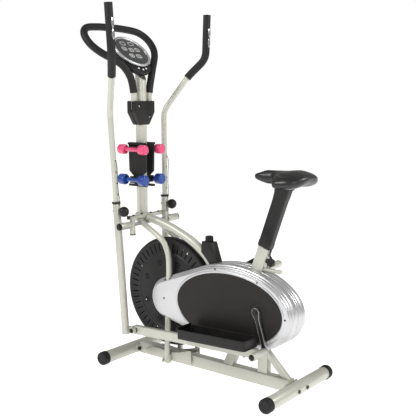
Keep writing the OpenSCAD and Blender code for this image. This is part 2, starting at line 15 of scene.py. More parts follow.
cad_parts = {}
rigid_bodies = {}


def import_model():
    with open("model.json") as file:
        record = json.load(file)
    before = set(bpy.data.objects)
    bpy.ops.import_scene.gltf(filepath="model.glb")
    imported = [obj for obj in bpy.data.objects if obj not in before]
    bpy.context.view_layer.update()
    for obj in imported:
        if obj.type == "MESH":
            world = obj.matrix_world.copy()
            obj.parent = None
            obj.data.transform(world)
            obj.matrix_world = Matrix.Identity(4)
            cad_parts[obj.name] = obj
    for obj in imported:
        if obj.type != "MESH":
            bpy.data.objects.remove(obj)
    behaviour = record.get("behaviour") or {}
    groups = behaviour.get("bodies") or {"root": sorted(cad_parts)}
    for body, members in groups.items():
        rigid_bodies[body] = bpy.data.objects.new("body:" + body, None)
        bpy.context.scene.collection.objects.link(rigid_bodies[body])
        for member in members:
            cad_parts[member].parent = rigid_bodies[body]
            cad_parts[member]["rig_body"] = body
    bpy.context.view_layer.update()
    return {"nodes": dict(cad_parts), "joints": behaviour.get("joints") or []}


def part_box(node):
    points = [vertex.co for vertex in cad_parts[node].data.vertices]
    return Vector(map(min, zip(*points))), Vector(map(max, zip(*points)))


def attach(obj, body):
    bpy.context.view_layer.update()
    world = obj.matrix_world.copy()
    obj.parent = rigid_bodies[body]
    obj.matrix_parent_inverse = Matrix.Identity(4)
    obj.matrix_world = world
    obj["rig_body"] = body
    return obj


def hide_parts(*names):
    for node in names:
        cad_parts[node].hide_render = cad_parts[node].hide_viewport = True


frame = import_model()
joints = {joint["name"]: joint for joint in frame["joints"]}

# %% [markdown]
# The machine is drawn in millimetres, counted along X from the centre of the front stabiliser, because
# that is how a workshop drawing of it would be laid out. `HOME` turns such a drawing into the frame's metres.
# A left-hand piece is the right-hand one mirrored in the X-Z plane. A flat outline that is drawn upright is
# stood up by `FACE_REAR` if it faces the rear, or by `FACE_SIDE` if it faces the side.

# %% Places and units
tube_low, tube_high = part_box("stabilisers")
STABILISER_R = (tube_high.z - tube_low.z) * 500
FRONT_X = tube_low.x + STABILISER_R / 1000
MM = Matrix.Scale(0.001, 4)
HOME = Matrix.Translation((FRONT_X, 0, 0)) @ MM
FLIP = Matrix.Scale(-1, 4, (0, 1, 0))
ALONG_Y = Matrix.Rotation(radians(-90), 4, "X")
ALONG_X = Matrix.Rotation(radians(90), 4, "Y")
FACE_REAR = Matrix(((0, 0, 1, 0), (1, 0, 0, 0), (0, 1, 0, 0), (0, 0, 0, 1)))
FACE_SIDE = Matrix(((1, 0, 0, 0), (0, 0, 1, 0), (0, 1, 0, 0), (0, 0, 0, 1)))
SIDES = {"left": FLIP, "right": Matrix.Identity(4)}


def moved(x, y, z):
    """The matrix that carries a shape to a point of the drawing."""
    return Matrix.Translation((x, y, z))


def drawing_point(metres):
    """A point of the frame, in the drawing's millimetres."""
    return Vector((metres[0] - FRONT_X, metres[1], metres[2])) * 1000


print("front stabiliser at", round(FRONT_X, 4), "m, radius", round(STABILISER_R, 2), "mm")

# %% [markdown]
# ## Camera, floor and light
# The machine stands in a white studio. A wide pale floor takes a faint shadow, three broad area lights
# model the tubes, and the world adds an even fill from all round. The backdrop that shows behind the machine
# is brighter than that fill, so that black parts stay black.

# %% Camera
CAMERA_PLACE = Vector((2.406 + FRONT_X, -2.561, 1.200))
camera_data = bpy.data.cameras.new("camera")
camera_data.lens = 65.94
camera = bpy.data.objects.new("camera", camera_data)
camera.location = CAMERA_PLACE
camera.rotation_euler = (radians(90 - 8.3), 0, radians(37.8))
bpy.context.scene.collection.objects.link(camera)
bpy.context.scene.camera = camera

# %% Studio
scene = bpy.context.scene
scene.view_settings.view_transform = "Standard"
world = bpy.data.worlds.new("studio")
world.use_nodes = True
world_nodes, world_link = world.node_tree.nodes, world.node_tree.links.new
fill = world_nodes["Background"]
fill.inputs["Color"].default_value = (1.0, 0.99, 0.97, 1)
fill.inputs["Strength"].default_value = 0.36
backdrop = world_nodes.new("ShaderNodeBackground")
backdrop.inputs["Color"].default_value = (1, 1, 1, 1)
seen = world_nodes.new("ShaderNodeLightPath")
either = world_nodes.new("ShaderNodeMixShader")
world_link(seen.outputs["Is Camera Ray"], either.inputs[0])
world_link(fill.outputs[0], either.inputs[1])
world_link(backdrop.outputs[0], either.inputs[2])
world_link(either.outputs[0], world_nodes["World Output"].inputs["Surface"])
scene.world = world


def softbox(name, place, target, size, power):
    """A square area light that faces a point."""
    light = bpy.data.lights.new(name, "AREA")
    light.shape = "SQUARE"
    light.size = size
    light.energy = power
    lamp = bpy.data.objects.new(name, light)
    lamp.location = place
    lamp.rotation_euler = (Vector(target) - Vector(place)).to_track_quat("-Z", "Y").to_euler()
    scene.collection.objects.link(lamp)


softbox("key", (-1.4, -3.0, 3.2), (0, 0, 0.8), 1.6, 85)
softbox("rim", (2.8, 1.2, 2.8), (0, 0, 0.8), 1.4, 62)
softbox("front", (2.9, -2.4, 2.2), (0, 0, 0.6), 1.2, 26)

# %% [markdown]
# ## Shaping tools
# Every piece starts as a bmesh: an outline that is extruded, a profile that is spun, rings that are
# bridged, or a line that becomes a pipe. `piece` gives the result its finish and the body that it rides on.
# Real edges are never perfectly sharp, so `rounded` puts a small bevel on them, and that is what makes
# edges catch the light.


# %% Making a piece
def piece(name, bm, finishes, body, place=HOME, stands_for=(), crease=35):
    """Puts a finished bmesh into the scene, where it moves with one body of the frame."""
    bmesh.ops.transform(bm, matrix=place, verts=bm.verts)
    if place.determinant() < 0:
        bmesh.ops.reverse_faces(bm, faces=bm.faces)
    mesh = bpy.data.meshes.new(name)
    bm.to_mesh(mesh)
    bm.free()
    finishes = finishes if isinstance(finishes, list) else [finishes]
    for finish in finishes:
        mesh.materials.append(finish)
    mesh.shade_smooth()
    mesh.set_sharp_from_angle(angle=radians(crease))
    made = bpy.data.objects.new(name, mesh)
    scene.collection.objects.link(made)
    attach(made, body)
    if stands_for:
        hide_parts(*stands_for)
    print(name, len(mesh.polygons), "faces")
    return made


def rounded(bm, width, segments=3, angle=30, only=None):
    """Bevels the edges that turn by more than an angle."""
    edges = [e for e in (only or bm.edges) if len(e.link_faces) == 2 and e.calc_face_angle() > radians(angle)]
    bmesh.ops.bevel(bm, geom=edges, offset=width, offset_type="OFFSET", segments=segments, profile=0.5,
                    affect="EDGES", material=-1, clamp_overlap=True)
    return bm


def joined(*shapes):
    """Several bmeshes as one."""
    whole = bmesh.new()
    for shape in shapes:
        part = bpy.data.meshes.new("part")
        shape.to_mesh(part)
        shape.free()
        whole.from_mesh(part)
        bpy.data.meshes.remove(part)
    return whole


def turned_to(bm, matrix):
    """The bmesh, after a transform that keeps or flips its faces as the matrix asks."""
    bmesh.ops.transform(bm, matrix=matrix, verts=bm.verts)
    if matrix.determinant() < 0:
        bmesh.ops.reverse_faces(bm, faces=bm.faces)
    return bm


# %% Blocks, prisms, spun and bridged shapes
def block(low, high):
    """A box between two corners."""
    low, high = Vector(low), Vector(high)
    bm = bmesh.new()
    bmesh.ops.create_cube(bm, size=1)
    bmesh.ops.scale(bm, vec=high - low, verts=bm.verts)
    bmesh.ops.translate(bm, vec=(low + high) / 2, verts=bm.verts)
    return bm


def prism(outline, low, high):
    """A flat outline, a list of (x, y), given height from low to high along Z."""
    bm = bmesh.new()
    face = bm.faces.new([bm.verts.new((x, y, low)) for x, y in outline])
    grown = bmesh.ops.extrude_face_region(bm, geom=[face])["geom"]
    bmesh.ops.translate(bm, vec=(0, 0, high - low),
                        verts=[v for v in grown if isinstance(v, bmesh.types.BMVert)])
    bmesh.ops.recalc_face_normals(bm, faces=bm.faces)
    return bm


def spun(profile, steps=48, matrix=Matrix.Identity(4)):
    """A profile, a list of (radius, height), spun once about the Z axis."""
    bm = bmesh.new()
    verts = [bm.verts.new((r, 0, z)) for r, z in profile]
    edges = [bm.edges.new(pair) for pair in zip(verts, verts[1:])]
    bmesh.ops.spin(bm, geom=verts + edges, cent=(0, 0, 0), axis=(0, 0, 1), angle=2 * pi, steps=steps,
                   use_merge=True)
    bmesh.ops.remove_doubles(bm, verts=bm.verts, dist=0.001)
    bmesh.ops.recalc_face_normals(bm, faces=bm.faces)
    return turned_to(bm, matrix)


def stacked(rings, close=True):
    """Rings of points, each bridged to the next, with the first and last filled in."""
    bm = bmesh.new()
    before = None
    loops = []
    for ring in rings:
        verts = [bm.verts.new(p) for p in ring]
        loop = [bm.edges.new((a, b)) for a, b in zip(verts, verts[1:] + verts[:1])]
        if before:
            bmesh.ops.bridge_loops(bm, edges=before + loop)
        before = loop
        loops.append(verts)
    if close:
        bm.faces.new(loops[0])
        bm.faces.new(loops[-1])
    bmesh.ops.recalc_face_normals(bm, faces=bm.faces)
    return bm


def slot_outline(length, radius, steps=8):
    """A rounded bar seen from above, centred on the origin, with its length along X."""
    half = length / 2 - radius
    arc = [radians(-90 + 180 * k / steps) for k in range(steps + 1)]
    return ([(half + radius * cos(a), radius * sin(a)) for a in arc]
            + [(-half - radius * cos(a), -radius * sin(a)) for a in arc])


def oval(a, b, count=72, centre=(0, 0)):
    """Points round an ellipse."""
    return [(centre[0] + a * cos(2 * pi * k / count), centre[1] + b * sin(2 * pi * k / count))
            for k in range(count)]


# %% Pipes along a line
def flowing(points, steps=8):
    """A smooth line through every one of the points."""
    line = []
    points = [Vector(p) for p in points]
    for k in range(len(points) - 1):
        a, b, c, d = points[max(k - 1, 0)], points[k], points[k + 1], points[min(k + 2, len(points) - 1)]
        for i in range(steps):
            t = i / steps
            line.append(0.5 * (2 * b + (c - a) * t + (2 * a - 5 * b + 4 * c - d) * t * t
                               + (3 * b - a - 3 * c + d) * t ** 3))
    return line + [points[-1]]


def bent(points, cut, steps=10):
    """Straight runs joined by bends that start and end a set way from each corner."""
    points = [Vector(p) for p in points]
    line = [points[0]]
    for a, b, c in zip(points, points[1:], points[2:]):
        start, end = b + cut * (a - b).normalized(), b + cut * (c - b).normalized()
        for i in range(steps + 1):
            t = i / steps
            line.append((1 - t) ** 2 * start + 2 * t * (1 - t) * b + t * t * end)
    return line + [points[-1]]


def pipe(line, radius, rim=0.0, fineness=12):
    """A round bar along a line. Its two ends are rounded off by the rim."""
    curve = bpy.data.curves.new("line", "CURVE")
    curve.dimensions = "3D"
    curve.bevel_depth = radius
    curve.bevel_resolution = fineness
    curve.use_fill_caps = True
    spline = curve.splines.new("POLY")
    spline.points.add(len(line) - 1)
    for point, place in zip(spline.points, line):
        point.co = (*place, 1)
    carrier = bpy.data.objects.new("line", curve)
    mesh = bpy.data.meshes.new_from_object(carrier)
    bm = bmesh.new()
    bm.from_mesh(mesh)
    bpy.data.objects.remove(carrier)
    bpy.data.curves.remove(curve)
    bpy.data.meshes.remove(mesh)
    bmesh.ops.remove_doubles(bm, verts=bm.verts, dist=0.001)
    bmesh.ops.recalc_face_normals(bm, faces=bm.faces)
    if rim:
        ends = {e for f in bm.faces if len(f.verts) > 4 for e in f.edges}
        rounded(bm, rim, 3, 60, only=list(ends))
    return bm


# %% Cutting and rounding finished parts
def cut_by(bm, cutter):
    """What is left of one closed shape after another is taken out of it."""
    work = []
    for shape in (bm, cutter):
        mesh = bpy.data.meshes.new("cut")
        shape.to_mesh(mesh)
        shape.free()
        work.append(bpy.data.objects.new("cut", mesh))
        scene.collection.objects.link(work[-1])
    modifier = work[0].modifiers.new("cut", "BOOLEAN")
    modifier.operation = "DIFFERENCE"
    modifier.solver = "EXACT"
    modifier.use_self = True
    modifier.object = work[1]
    bpy.context.view_layer.update()
    depsgraph = bpy.context.evaluated_depsgraph_get()
    mesh = bpy.data.meshes.new_from_object(work[0].evaluated_get(depsgraph))
    result = bmesh.new()
    result.from_mesh(mesh)
    for item in work:
        bpy.data.meshes.remove(item.data)
    return result


def softened(node, width, finish, segments=2, crease=35):
    """A copy of a CAD part with its edges rounded off, which stands for that part."""
    source = frame["nodes"][node]
    bm = bmesh.new()
    bm.from_mesh(source.data)
    bmesh.ops.remove_doubles(bm, verts=bm.verts, dist=1e-5)
    bmesh.ops.dissolve_limit(bm, angle_limit=radians(0.5), verts=bm.verts, edges=bm.edges)
    rounded(bm, width / 1000, segments, 30)
    return piece(node + "_rounded", bm, finish, source["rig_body"], Matrix.Identity(4), (node,), crease)

# %% [markdown]
# ## Finishes
# Two effects come up again and again, so each is a node group that is built once. `Handling` varies a
# colour and its gloss in broad soft patches, as years of hands and cloths do. `Grain` gives a height for
# the bump: the orange peel of enamel, the pebble of moulded plastic, the creases of vinyl or the cells of foam.


# %% Node group: Handling
def new_group(name, inputs, outputs):
    """An empty shader node group with float, colour and vector sockets."""
    group = bpy.data.node_groups.new(name, "ShaderNodeTree")
    for label, kind, value in inputs:
        made = group.interface.new_socket(label, in_out="INPUT", socket_type="NodeSocket" + kind)
        if value is not None:
            made.default_value = value
    for label, kind in outputs:
        group.interface.new_socket(label, in_out="OUTPUT", socket_type="NodeSocket" + kind)
    return group, group.nodes.new("NodeGroupInput"), group.nodes.new("NodeGroupOutput")


handling, h_in, h_out = new_group(
    "Handling",
    [("Vector", "Vector", None), ("Colour", "Color", (0.5, 0.5, 0.5, 1)),
     ("Worn Colour", "Color", (0.6, 0.6, 0.6, 1)),
     ("Scale", "Float", 12.0), ("Amount", "Float", 0.5),
      ("Gloss Low", "Float", 0.3), ("Gloss High", "Float", 0.5)],
    [("Colour", "Color"), ("Roughness", "Float")])
patches = handling.nodes.new("ShaderNodeTexNoise")
patches.inputs["Detail"].default_value = 5
patches.inputs["Roughness"].default_value = 0.6
spread = handling.nodes.new("ShaderNodeMapRange")
spread.inputs["From Min"].default_value = 0.35
spread.inputs["From Max"].default_value = 0.68
share = handling.nodes.new("ShaderNodeMath")
share.operation = "MULTIPLY"
tint = handling.nodes.new("ShaderNodeMix")
tint.data_type = "RGBA"
gloss = handling.nodes.new("ShaderNodeMix")
gloss.data_type = "FLOAT"
link = handling.links.new
link(h_in.outputs["Vector"], patches.inputs["Vector"])
link(h_in.outputs["Scale"], patches.inputs["Scale"])
link(patches.outputs["Fac"], spread.inputs["Value"])
link(spread.outputs["Result"], share.inputs[0])
link(h_in.outputs["Amount"], share.inputs[1])
link(share.outputs[0], tint.inputs["Factor"])
link(h_in.outputs["Colour"], tint.inputs["A"])
link(h_in.outputs["Worn Colour"], tint.inputs["B"])
link(spread.outputs["Result"], gloss.inputs["Factor"])
link(h_in.outputs["Gloss Low"], gloss.inputs["A"])
link(h_in.outputs["Gloss High"], gloss.inputs["B"])
link(tint.outputs["Result"], h_out.inputs["Colour"])
link(gloss.outputs["Result"], h_out.inputs["Roughness"])

# %% Node group: Grain
grain, g_in, g_out = new_group(
    "Grain",
    [("Vector", "Vector", None), ("Cell Scale", "Float", 400.0), ("Noise Scale", "Float", 150.0),
     ("Cells", "Float", 0.5)],
    [("Height", "Float")])
cells = grain.nodes.new("ShaderNodeTexVoronoi")
cells.feature = "SMOOTH_F1"
swell = grain.nodes.new("ShaderNodeTexNoise")
swell.inputs["Detail"].default_value = 4
blend = grain.nodes.new("ShaderNodeMix")
blend.data_type = "FLOAT"
link = grain.links.new
link(g_in.outputs["Vector"], cells.inputs["Vector"])
link(g_in.outputs["Vector"], swell.inputs["Vector"])
link(g_in.outputs["Cell Scale"], cells.inputs["Scale"])
link(g_in.outputs["Noise Scale"], swell.inputs["Scale"])
link(g_in.outputs["Cells"], blend.inputs["Factor"])
link(swell.outputs["Fac"], blend.inputs["A"])
link(cells.outputs["Distance"], blend.inputs["B"])
link(blend.outputs["Result"], g_out.inputs["Height"])


# %% [markdown]
# A finish is one Principled shader fed by those groups. What is the same all over, such as the metal share
# or the coat, is set on the shader itself. `stretch` pulls the pattern out along an axis for brushed metal.

# %% A finish from the groups
def finish(name, slot, colour, worn, rough, metal=0.0, patch=12, amount=0.5, cell=400, noise=150, cells_share=0.5,
           relief=0.1, depth=0.0003, stretch=(1, 1, 1), coat=0.0, shine=0.5):
    """A procedural material for one of the machine's surfaces."""
    material = bpy.data.materials.new(name)
    material.use_nodes = True
    nodes, connect = material.node_tree.nodes, material.node_tree.links.new
    shader = nodes["Principled BSDF"]
    shader.inputs["Metallic"].default_value = metal
    shader.inputs["Coat Weight"].default_value = coat
    shader.inputs["Coat Roughness"].default_value = 0.12
    shader.inputs["Specular IOR Level"].default_value = shine
    where = nodes.new("ShaderNodeTexCoord")
    mapping = nodes.new("ShaderNodeMapping")
    mapping.inputs["Scale"].default_value = stretch
    connect(where.outputs["Object"], mapping.inputs["Vector"])
    wear = nodes.new("ShaderNodeGroup")
    wear.node_tree = handling
    wear.inputs["Colour"].default_value = (*colour, 1)
    wear.inputs["Worn Colour"].default_value = (*worn, 1)
    wear.inputs["Scale"].default_value = patch
    wear.inputs["Amount"].default_value = amount
    wear.inputs["Gloss Low"].default_value, wear.inputs["Gloss High"].default_value = rough
    skin = nodes.new("ShaderNodeGroup")
    skin.node_tree = grain
    skin.inputs["Cell Scale"].default_value = cell
    skin.inputs["Noise Scale"].default_value = noise
    skin.inputs["Cells"].default_value = cells_share
    bump = nodes.new("ShaderNodeBump")
    bump.inputs["Strength"].default_value = relief
    bump.inputs["Distance"].default_value = depth
    connect(mapping.outputs["Vector"], wear.inputs["Vector"])
    connect(mapping.outputs["Vector"], skin.inputs["Vector"])
    connect(wear.outputs["Colour"], shader.inputs["Base Color"])
    connect(wear.outputs["Roughness"], shader.inputs["Roughness"])
    connect(skin.outputs["Height"], bump.inputs["Height"])
    connect(bump.outputs["Normal"], shader.inputs["Normal"])
    material["slot"] = slot
    return material


# %% The machine's finishes
enamel = finish("silver enamel", "frame_paint",
                (0.50, 0.498, 0.435), (0.56, 0.556, 0.495), (0.34, 0.46), metal=0.25,
                patch=9, noise=260, cells_share=0.15, relief=0.12, coat=0.25)
silver = finish("silver moulding", "silver_plastic",
                (0.55, 0.55, 0.56), (0.63, 0.63, 0.64), (0.26, 0.36), metal=0.72,
                patch=7, noise=900, cell=1400, cells_share=0.5, relief=0.05, coat=0.2)
moulded = finish("black moulding", "black_plastic",
                 (0.008, 0.0072, 0.0070), (0.016, 0.0145, 0.0140), (0.34, 0.50),
                 patch=16, cell=900, noise=420, cells_share=0.6, relief=0.22, shine=0.32)
pebbled = finish("pebbled plate", "black_plastic",
                 (0.011, 0.0085, 0.0080), (0.017, 0.0135, 0.0125), (0.46, 0.60),
                 patch=6, cell=1100, noise=500, cells_share=0.75, relief=0.32, shine=0.32)
shell_black = finish("wheel moulding", "black_plastic",
                     (0.006, 0.0055, 0.0055), (0.013, 0.012, 0.0118), (0.32, 0.46),
                     patch=14, cell=700, noise=300, cells_share=0.5, relief=0.2, shine=0.32)
rubber = finish("cap rubber", "black_rubber", (0.008, 0.008, 0.0085), (0.020, 0.019, 0.018), (0.50, 0.70),
                patch=30, cell=600, noise=200, cells_share=0.4, relief=0.25, shine=0.32)
foam = finish("closed-cell foam", "foam", (0.008, 0.0072, 0.0072), (0.017, 0.0155, 0.015), (0.50, 0.66),
              patch=22, cell=520, noise=240, cells_share=0.8, relief=0.45, depth=0.0005, shine=0.32)
vinyl = finish("saddle vinyl", "saddle_vinyl", (0.006, 0.006, 0.0062), (0.013, 0.013, 0.0128), (0.30, 0.42),
               patch=10, cell=430, noise=180, cells_share=0.8, relief=0.30, depth=0.0005, coat=0.12)
pink = finish("pink vinyl dip", "pink_vinyl", (0.70, 0.050, 0.165), (0.78, 0.090, 0.22), (0.26, 0.38),
              patch=24, cell=300, noise=140, cells_share=0.3, relief=0.12, coat=0.5)
blue = finish("blue vinyl dip", "blue_vinyl", (0.002, 0.040, 0.26), (0.006, 0.070, 0.34), (0.24, 0.36),
              patch=24, cell=300, noise=140, cells_share=0.3, relief=0.12, coat=0.5)
steel = finish("bare steel", "bare_steel", (0.42, 0.42, 0.43), (0.52, 0.51, 0.50), (0.26, 0.44), metal=0.95,
               patch=30, cell=300, noise=240, cells_share=0.1, relief=0.15, stretch=(1, 9, 1))
chrome = finish("chrome", "bare_steel", (0.72, 0.72, 0.73), (0.78, 0.78, 0.79), (0.08, 0.16), metal=1.0,
                patch=40, cell=300, noise=60, cells_share=0.0, relief=0.03)
black_steel = finish("black steel", "black_steel",
                     (0.010, 0.010, 0.0105), (0.024, 0.023, 0.022), (0.30, 0.46),
                     metal=0.3, patch=18, noise=300, cells_share=0.2, relief=0.15)
glass_black = finish("display window", "display", (0.030, 0.032, 0.034), (0.048, 0.05, 0.052), (0.16, 0.26),
                     patch=10, noise=120, cells_share=0.0, relief=0.02, coat=0.4)
segment = finish("display segment", "white_plastic", (0.50, 0.51, 0.50), (0.60, 0.61, 0.60), (0.30, 0.42),
                 patch=60, noise=400, cells_share=0.2, relief=0.05)
white = finish("white button", "white_plastic", (0.72, 0.72, 0.71), (0.80, 0.80, 0.79), (0.25, 0.38),
               patch=60, noise=400, cells_share=0.2, relief=0.05)
webbing = finish("brake webbing", "felt", (0.018, 0.018, 0.018), (0.045, 0.044, 0.042), (0.75, 0.9),
                 patch=30, cell=900, noise=500, cells_share=0.9, relief=0.6, depth=0.0008)

# %% [markdown]
# ## The welded frame
# Beams, brackets and straight tubes already have their true shape in the CAD model. A copy of each gets
# softened edges, since sawn and welded steel is never knife-sharp, and a coat of enamel.

# %% Base, post and seat tube
for node, width in {"base_beam": 1.6, "rear_frame": 1.8, "head_yoke": 1.6, "front_post": 0.8, "seat_tube": 2.2,
                    "stabilisers": 0.7, "lower_arm_left": 1.2, "lower_arm_right": 1.2}.items():
    softened(node, width, enamel)
softened("fasteners", 0.9, black_steel)
softened("tension_housing", 2.0, moulded)

# %% [markdown]
# The two fork legs, the main tube and the handlebar are bent from round tube. Each follows its centre line:
# the fork has tight bends between straight runs, the main tube is one flowing curve.

# %% Bent tubes
FORK_Y = 46
TUBE_R = 12.7
MAIN_R = 19
WHEEL_X, WHEEL_Z, WHEEL_R = 213, 329, 244
fork_line = bent([(54, FORK_Y, 648), (162, FORK_Y, 590), (208, FORK_Y, 562), (234, FORK_Y, 505),
                  (236, FORK_Y, 440), (219, FORK_Y, 8.4)], 24)
main_line = flowing([(74, 0, 651), (132, 0, 642), (200, 0, 624), (261, 0, 602), (322, 0, 576), (375, 0, 544),
                     (418, 0, 508), (451, 0, 460), (480, 0, 410), (500, 0, 362), (530, 0, 318), (590, 0, 300),
                     (698, 0, 330)])


def fork():
    """A fork leg with its drop-out plate and the two gussets at its foot."""
    leg = pipe(fork_line, TUBE_R, 0.8)
    drop_out = rounded(block((WHEEL_X - 16, FORK_Y - 3, WHEEL_Z - 18),
                             (WHEEL_X + 14, FORK_Y + 3, WHEEL_Z + 18)), 1)
    gussets = [turned_to(rounded(prism([(33.2, 8), (64, 8), (64, 18), (42, 46), (33.2, 46)], x, x + 4), 0.7),
                         FACE_REAR) for x in (203, 232)]
    return joined(leg, drop_out, *gussets)


for side, mirror in SIDES.items():
    piece(f"fork_{side}_tube", fork(), enamel, "frame", HOME @ mirror, (f"fork_{side}",))
piece("main_tube_bend", pipe(main_line, MAIN_R, 1.0), enamel, "frame", stands_for=("main_tube",))

# %% [markdown]
# The head carries the arms. On top of its crosswise bar sit two bolt heads, black plugs close the bar's ends
# and the ends of the hangers below, and a weld bead runs round the post.

# %% Head fittings
PIVOT_X, PIVOT_Z = 78, 634
YOKE_LOW, YOKE_TOP = 656, 669.8
POST_X, POST_R = 36, 24.5


def head_fittings():
    """Bolts, plugs and washers on the head."""
    parts = []
    for y in (-84, -30, 30, 84):
        parts.append(spun([(0, 4.6), (4, 4.6), (5.6, 3.4), (5.8, 0), (0, 0)], 6, moved(60, y, YOKE_TOP)))
    for s in (-1, 1):
        parts.append(rounded(block((47, s * 112 - 3, YOKE_LOW - 1), (73, s * 112 + 3, YOKE_TOP + 1)), 1.2))
        parts.append(spun([(0, 0), (12, 0), (13.4, 1.4), (13.4, 5), (0, 5)], 32, moved(PIVOT_X, s * 110, 587)))
    return joined(*parts)


piece("head_fittings", head_fittings(), moulded, "frame")
weld = spun([(POST_R + 2.6 + 2.2 * cos(a), 2.2 * sin(a)) for a in (2 * pi * k / 10 for k in range(11))], 48,
            moved(POST_X, 0, YOKE_TOP + 0.4))
piece("post_weld", weld, enamel, "frame")

# %% [markdown]
# A stabiliser's rubber cap is turned: a slightly swollen cup with a rounded lip, a flat face with a shallow
# dish, and three grip rings. Its underside is flattened a little where it stands.

# %% Rubber caps
CAP_R, CAP_LEN = 30, 32
stab_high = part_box("stabiliser_caps")[1]
STAB_HALF = stab_high.y * 1000
STAB_Z = CAP_R - 0.8
REAR_X = drawing_point(stab_high).x - CAP_R


def cap():
    """One cap, with its open mouth at the origin and its face along +Z."""
    grips = []
    for z in (5, 11, 17):
        grips += [(CAP_R - 0.1, z - 1.6), (CAP_R - 1.0, z - 0.8), (CAP_R - 1.0, z + 0.8), (CAP_R - 0.1, z + 1.6)]
    outside = [(STABILISER_R + 0.1, 0), (CAP_R - 0.8, 0), (CAP_R - 0.1, 0.8)] + grips
    nose = [(CAP_R - 0.1, 24), (CAP_R - 1.2, 28), (CAP_R - 4.5, CAP_LEN - 0.6), (CAP_R - 8, CAP_LEN)]
    face = [(17, CAP_LEN), (15.6, CAP_LEN - 1.2), (0, CAP_LEN - 1.2)]
    bm = spun(outside + nose + face, 64, ALONG_Y)
    for v in bm.verts:
        v.co.z = max(v.co.z, -STAB_Z)
    return bm


caps = [turned_to(cap(), moved(x, 0, STAB_Z) @ mirror @ moved(0, STAB_HALF - CAP_LEN, 0))
        for x in (0, REAR_X) for mirror in SIDES.values()]
piece("stabiliser_end_caps", joined(*caps), rubber, "frame", stands_for=("stabiliser_caps",))

# %% [markdown]
# ## Boot, handlebar and console
# The handlebar is one tube bent into a tilted loop. Its two legs end in a plastic boot on the post. Foam
# covers the loop, and it is a little thicker than the tube, with soft rounded ends.

# %% Handlebar loop and its foam
LEG_X, LEG_Y = 40, 50
HANDLEBAR_R = 12.7
FOAM_WALL = 3.8
half = [(LEG_X, LEG_Y, 1144), (LEG_X, LEG_Y, 1190), (40, 54, 1236), (37, 70, 1290), (21, 100, 1337),
        (-6, 138, 1366), (-38, 178, 1394), (-72, 205, 1430), (-108, 203, 1472), (-134, 165, 1502), (-144, 90, 1512)]
loop_line = flowing(half + [(-146, 0, 1514)] + [(x, -y, z) for x, y, z in reversed(half)])
FOAM_START = 13
foam_line = loop_line[FOAM_START:-FOAM_START]
piece("handlebar_tube", pipe(loop_line, HANDLEBAR_R), enamel, "frame", stands_for=("handlebar",))
piece("handlebar_foam_cover", pipe(foam_line, HANDLEBAR_R + FOAM_WALL, 2.2, 14), foam, "frame",
      stands_for=("handlebar_foam",))

# %% [markdown]
# The boot is moulded in two halves that meet in a fine seam. A square recess on the left and a screw low on
# the right are the marks of how it is fitted.

# %% Boot
BOOT_OUTLINE = [(-64, 1182), (-64, 1130), (-28, 1075), (28, 1075), (64, 1130), (64, 1182)]


def boot_half(low, high):
    """One half of the boot, between two distances along X."""
    return turned_to(rounded(prism(BOOT_OUTLINE, low, high), 4.5, 4), FACE_REAR)


def boot():
    """Both halves, with the pocket and the two screws on the rear one."""
    rear = boot_half(POST_X + 0.25, POST_X + 27)
    pocket = block((POST_X + 24, -46, 1148), (POST_X + 40, -30, 1168))
    rear = cut_by(rear, joined(rounded(pocket, 1.5),
                               spun([(0, 0), (5, 0), (5, 20), (0, 20)], 24,
                                    moved(POST_X + 24.5, 30, 1110) @ ALONG_X)))
    return joined(boot_half(POST_X - 27, POST_X - 0.25), rear)


piece("boot_shells", boot(), moulded, "frame", stands_for=("boot",))
screws = [spun([(0, 1.4), (2.6, 1.4), (4.2, 0.4), (4.2, 0), (0, 0)], 20, moved(POST_X + 24.4, 30, 1110) @ ALONG_X),
          rounded(block((POST_X + 23.9, -42, 1154), (POST_X + 26, -34, 1162)), 0.6)]
piece("boot_screws", joined(*screws), steel, "frame")

# %% [markdown]
# The console is drawn flat and then tilted by 45 degrees about the lateral axis. Ovals stacked on each other
# give the housing and the chin below it. The silver rim is a ring of ovals round a dark window.

# %% Console housing
CONSOLE = HOME @ moved(-13, 0, 1407) @ Matrix.Rotation(radians(45), 4, "Y")
RIM_A, RIM_B = 94, 100


def oval_rings(a, b, levels, centre=(0, 0), count=96):
    """Ovals at several levels, each given as (inset, height)."""
    return [[(x, y, z) for x, y in oval(a - inset, b - inset, count, centre)] for inset, z in levels]


def console_housing():
    """The oval body and the chin that holds the buttons."""
    body = stacked(oval_rings(RIM_A - 3, RIM_B - 3, [(14, -42), (5, -40.5), (1.2, -36), (0, -30), (0, -10.2)]))
    chin = stacked(oval_rings(87, 84, [(16, -42), (6, -40), (1.5, -35), (0, -29), (0, -21), (2, -17), (6, -15)],
                              (40, 0)))
    return joined(body, chin)


piece("console_shell", console_housing(), moulded, "frame", CONSOLE, ("console_housing",))
rim = stacked(oval_rings(RIM_A, RIM_B, [(0.6, -10), (0, -9), (0, -4.5), (1.2, -1.8), (3.6, -0.2), (6.4, 0),
                                        (9.2, -0.9), (11.6, -3.2), (12.6, -6), (12.9, -10)]), close=False)
bmesh.ops.bridge_loops(rim, edges=[e for e in rim.edges if len(e.link_faces) == 1])
bmesh.ops.recalc_face_normals(rim, faces=rim.faces)
piece("console_rim", rim, silver, "frame", CONSOLE, ("console_bezel",))

# %% Display window and its segments
window = stacked(oval_rings(RIM_A - 13, RIM_B - 13, [(0.4, -9), (0.3, -4.4), (8, -3.2), (26, -2.5), (52, -2.2)]))
piece("display_window", window, glass_black, "frame", CONSOLE, ("console_lens",))


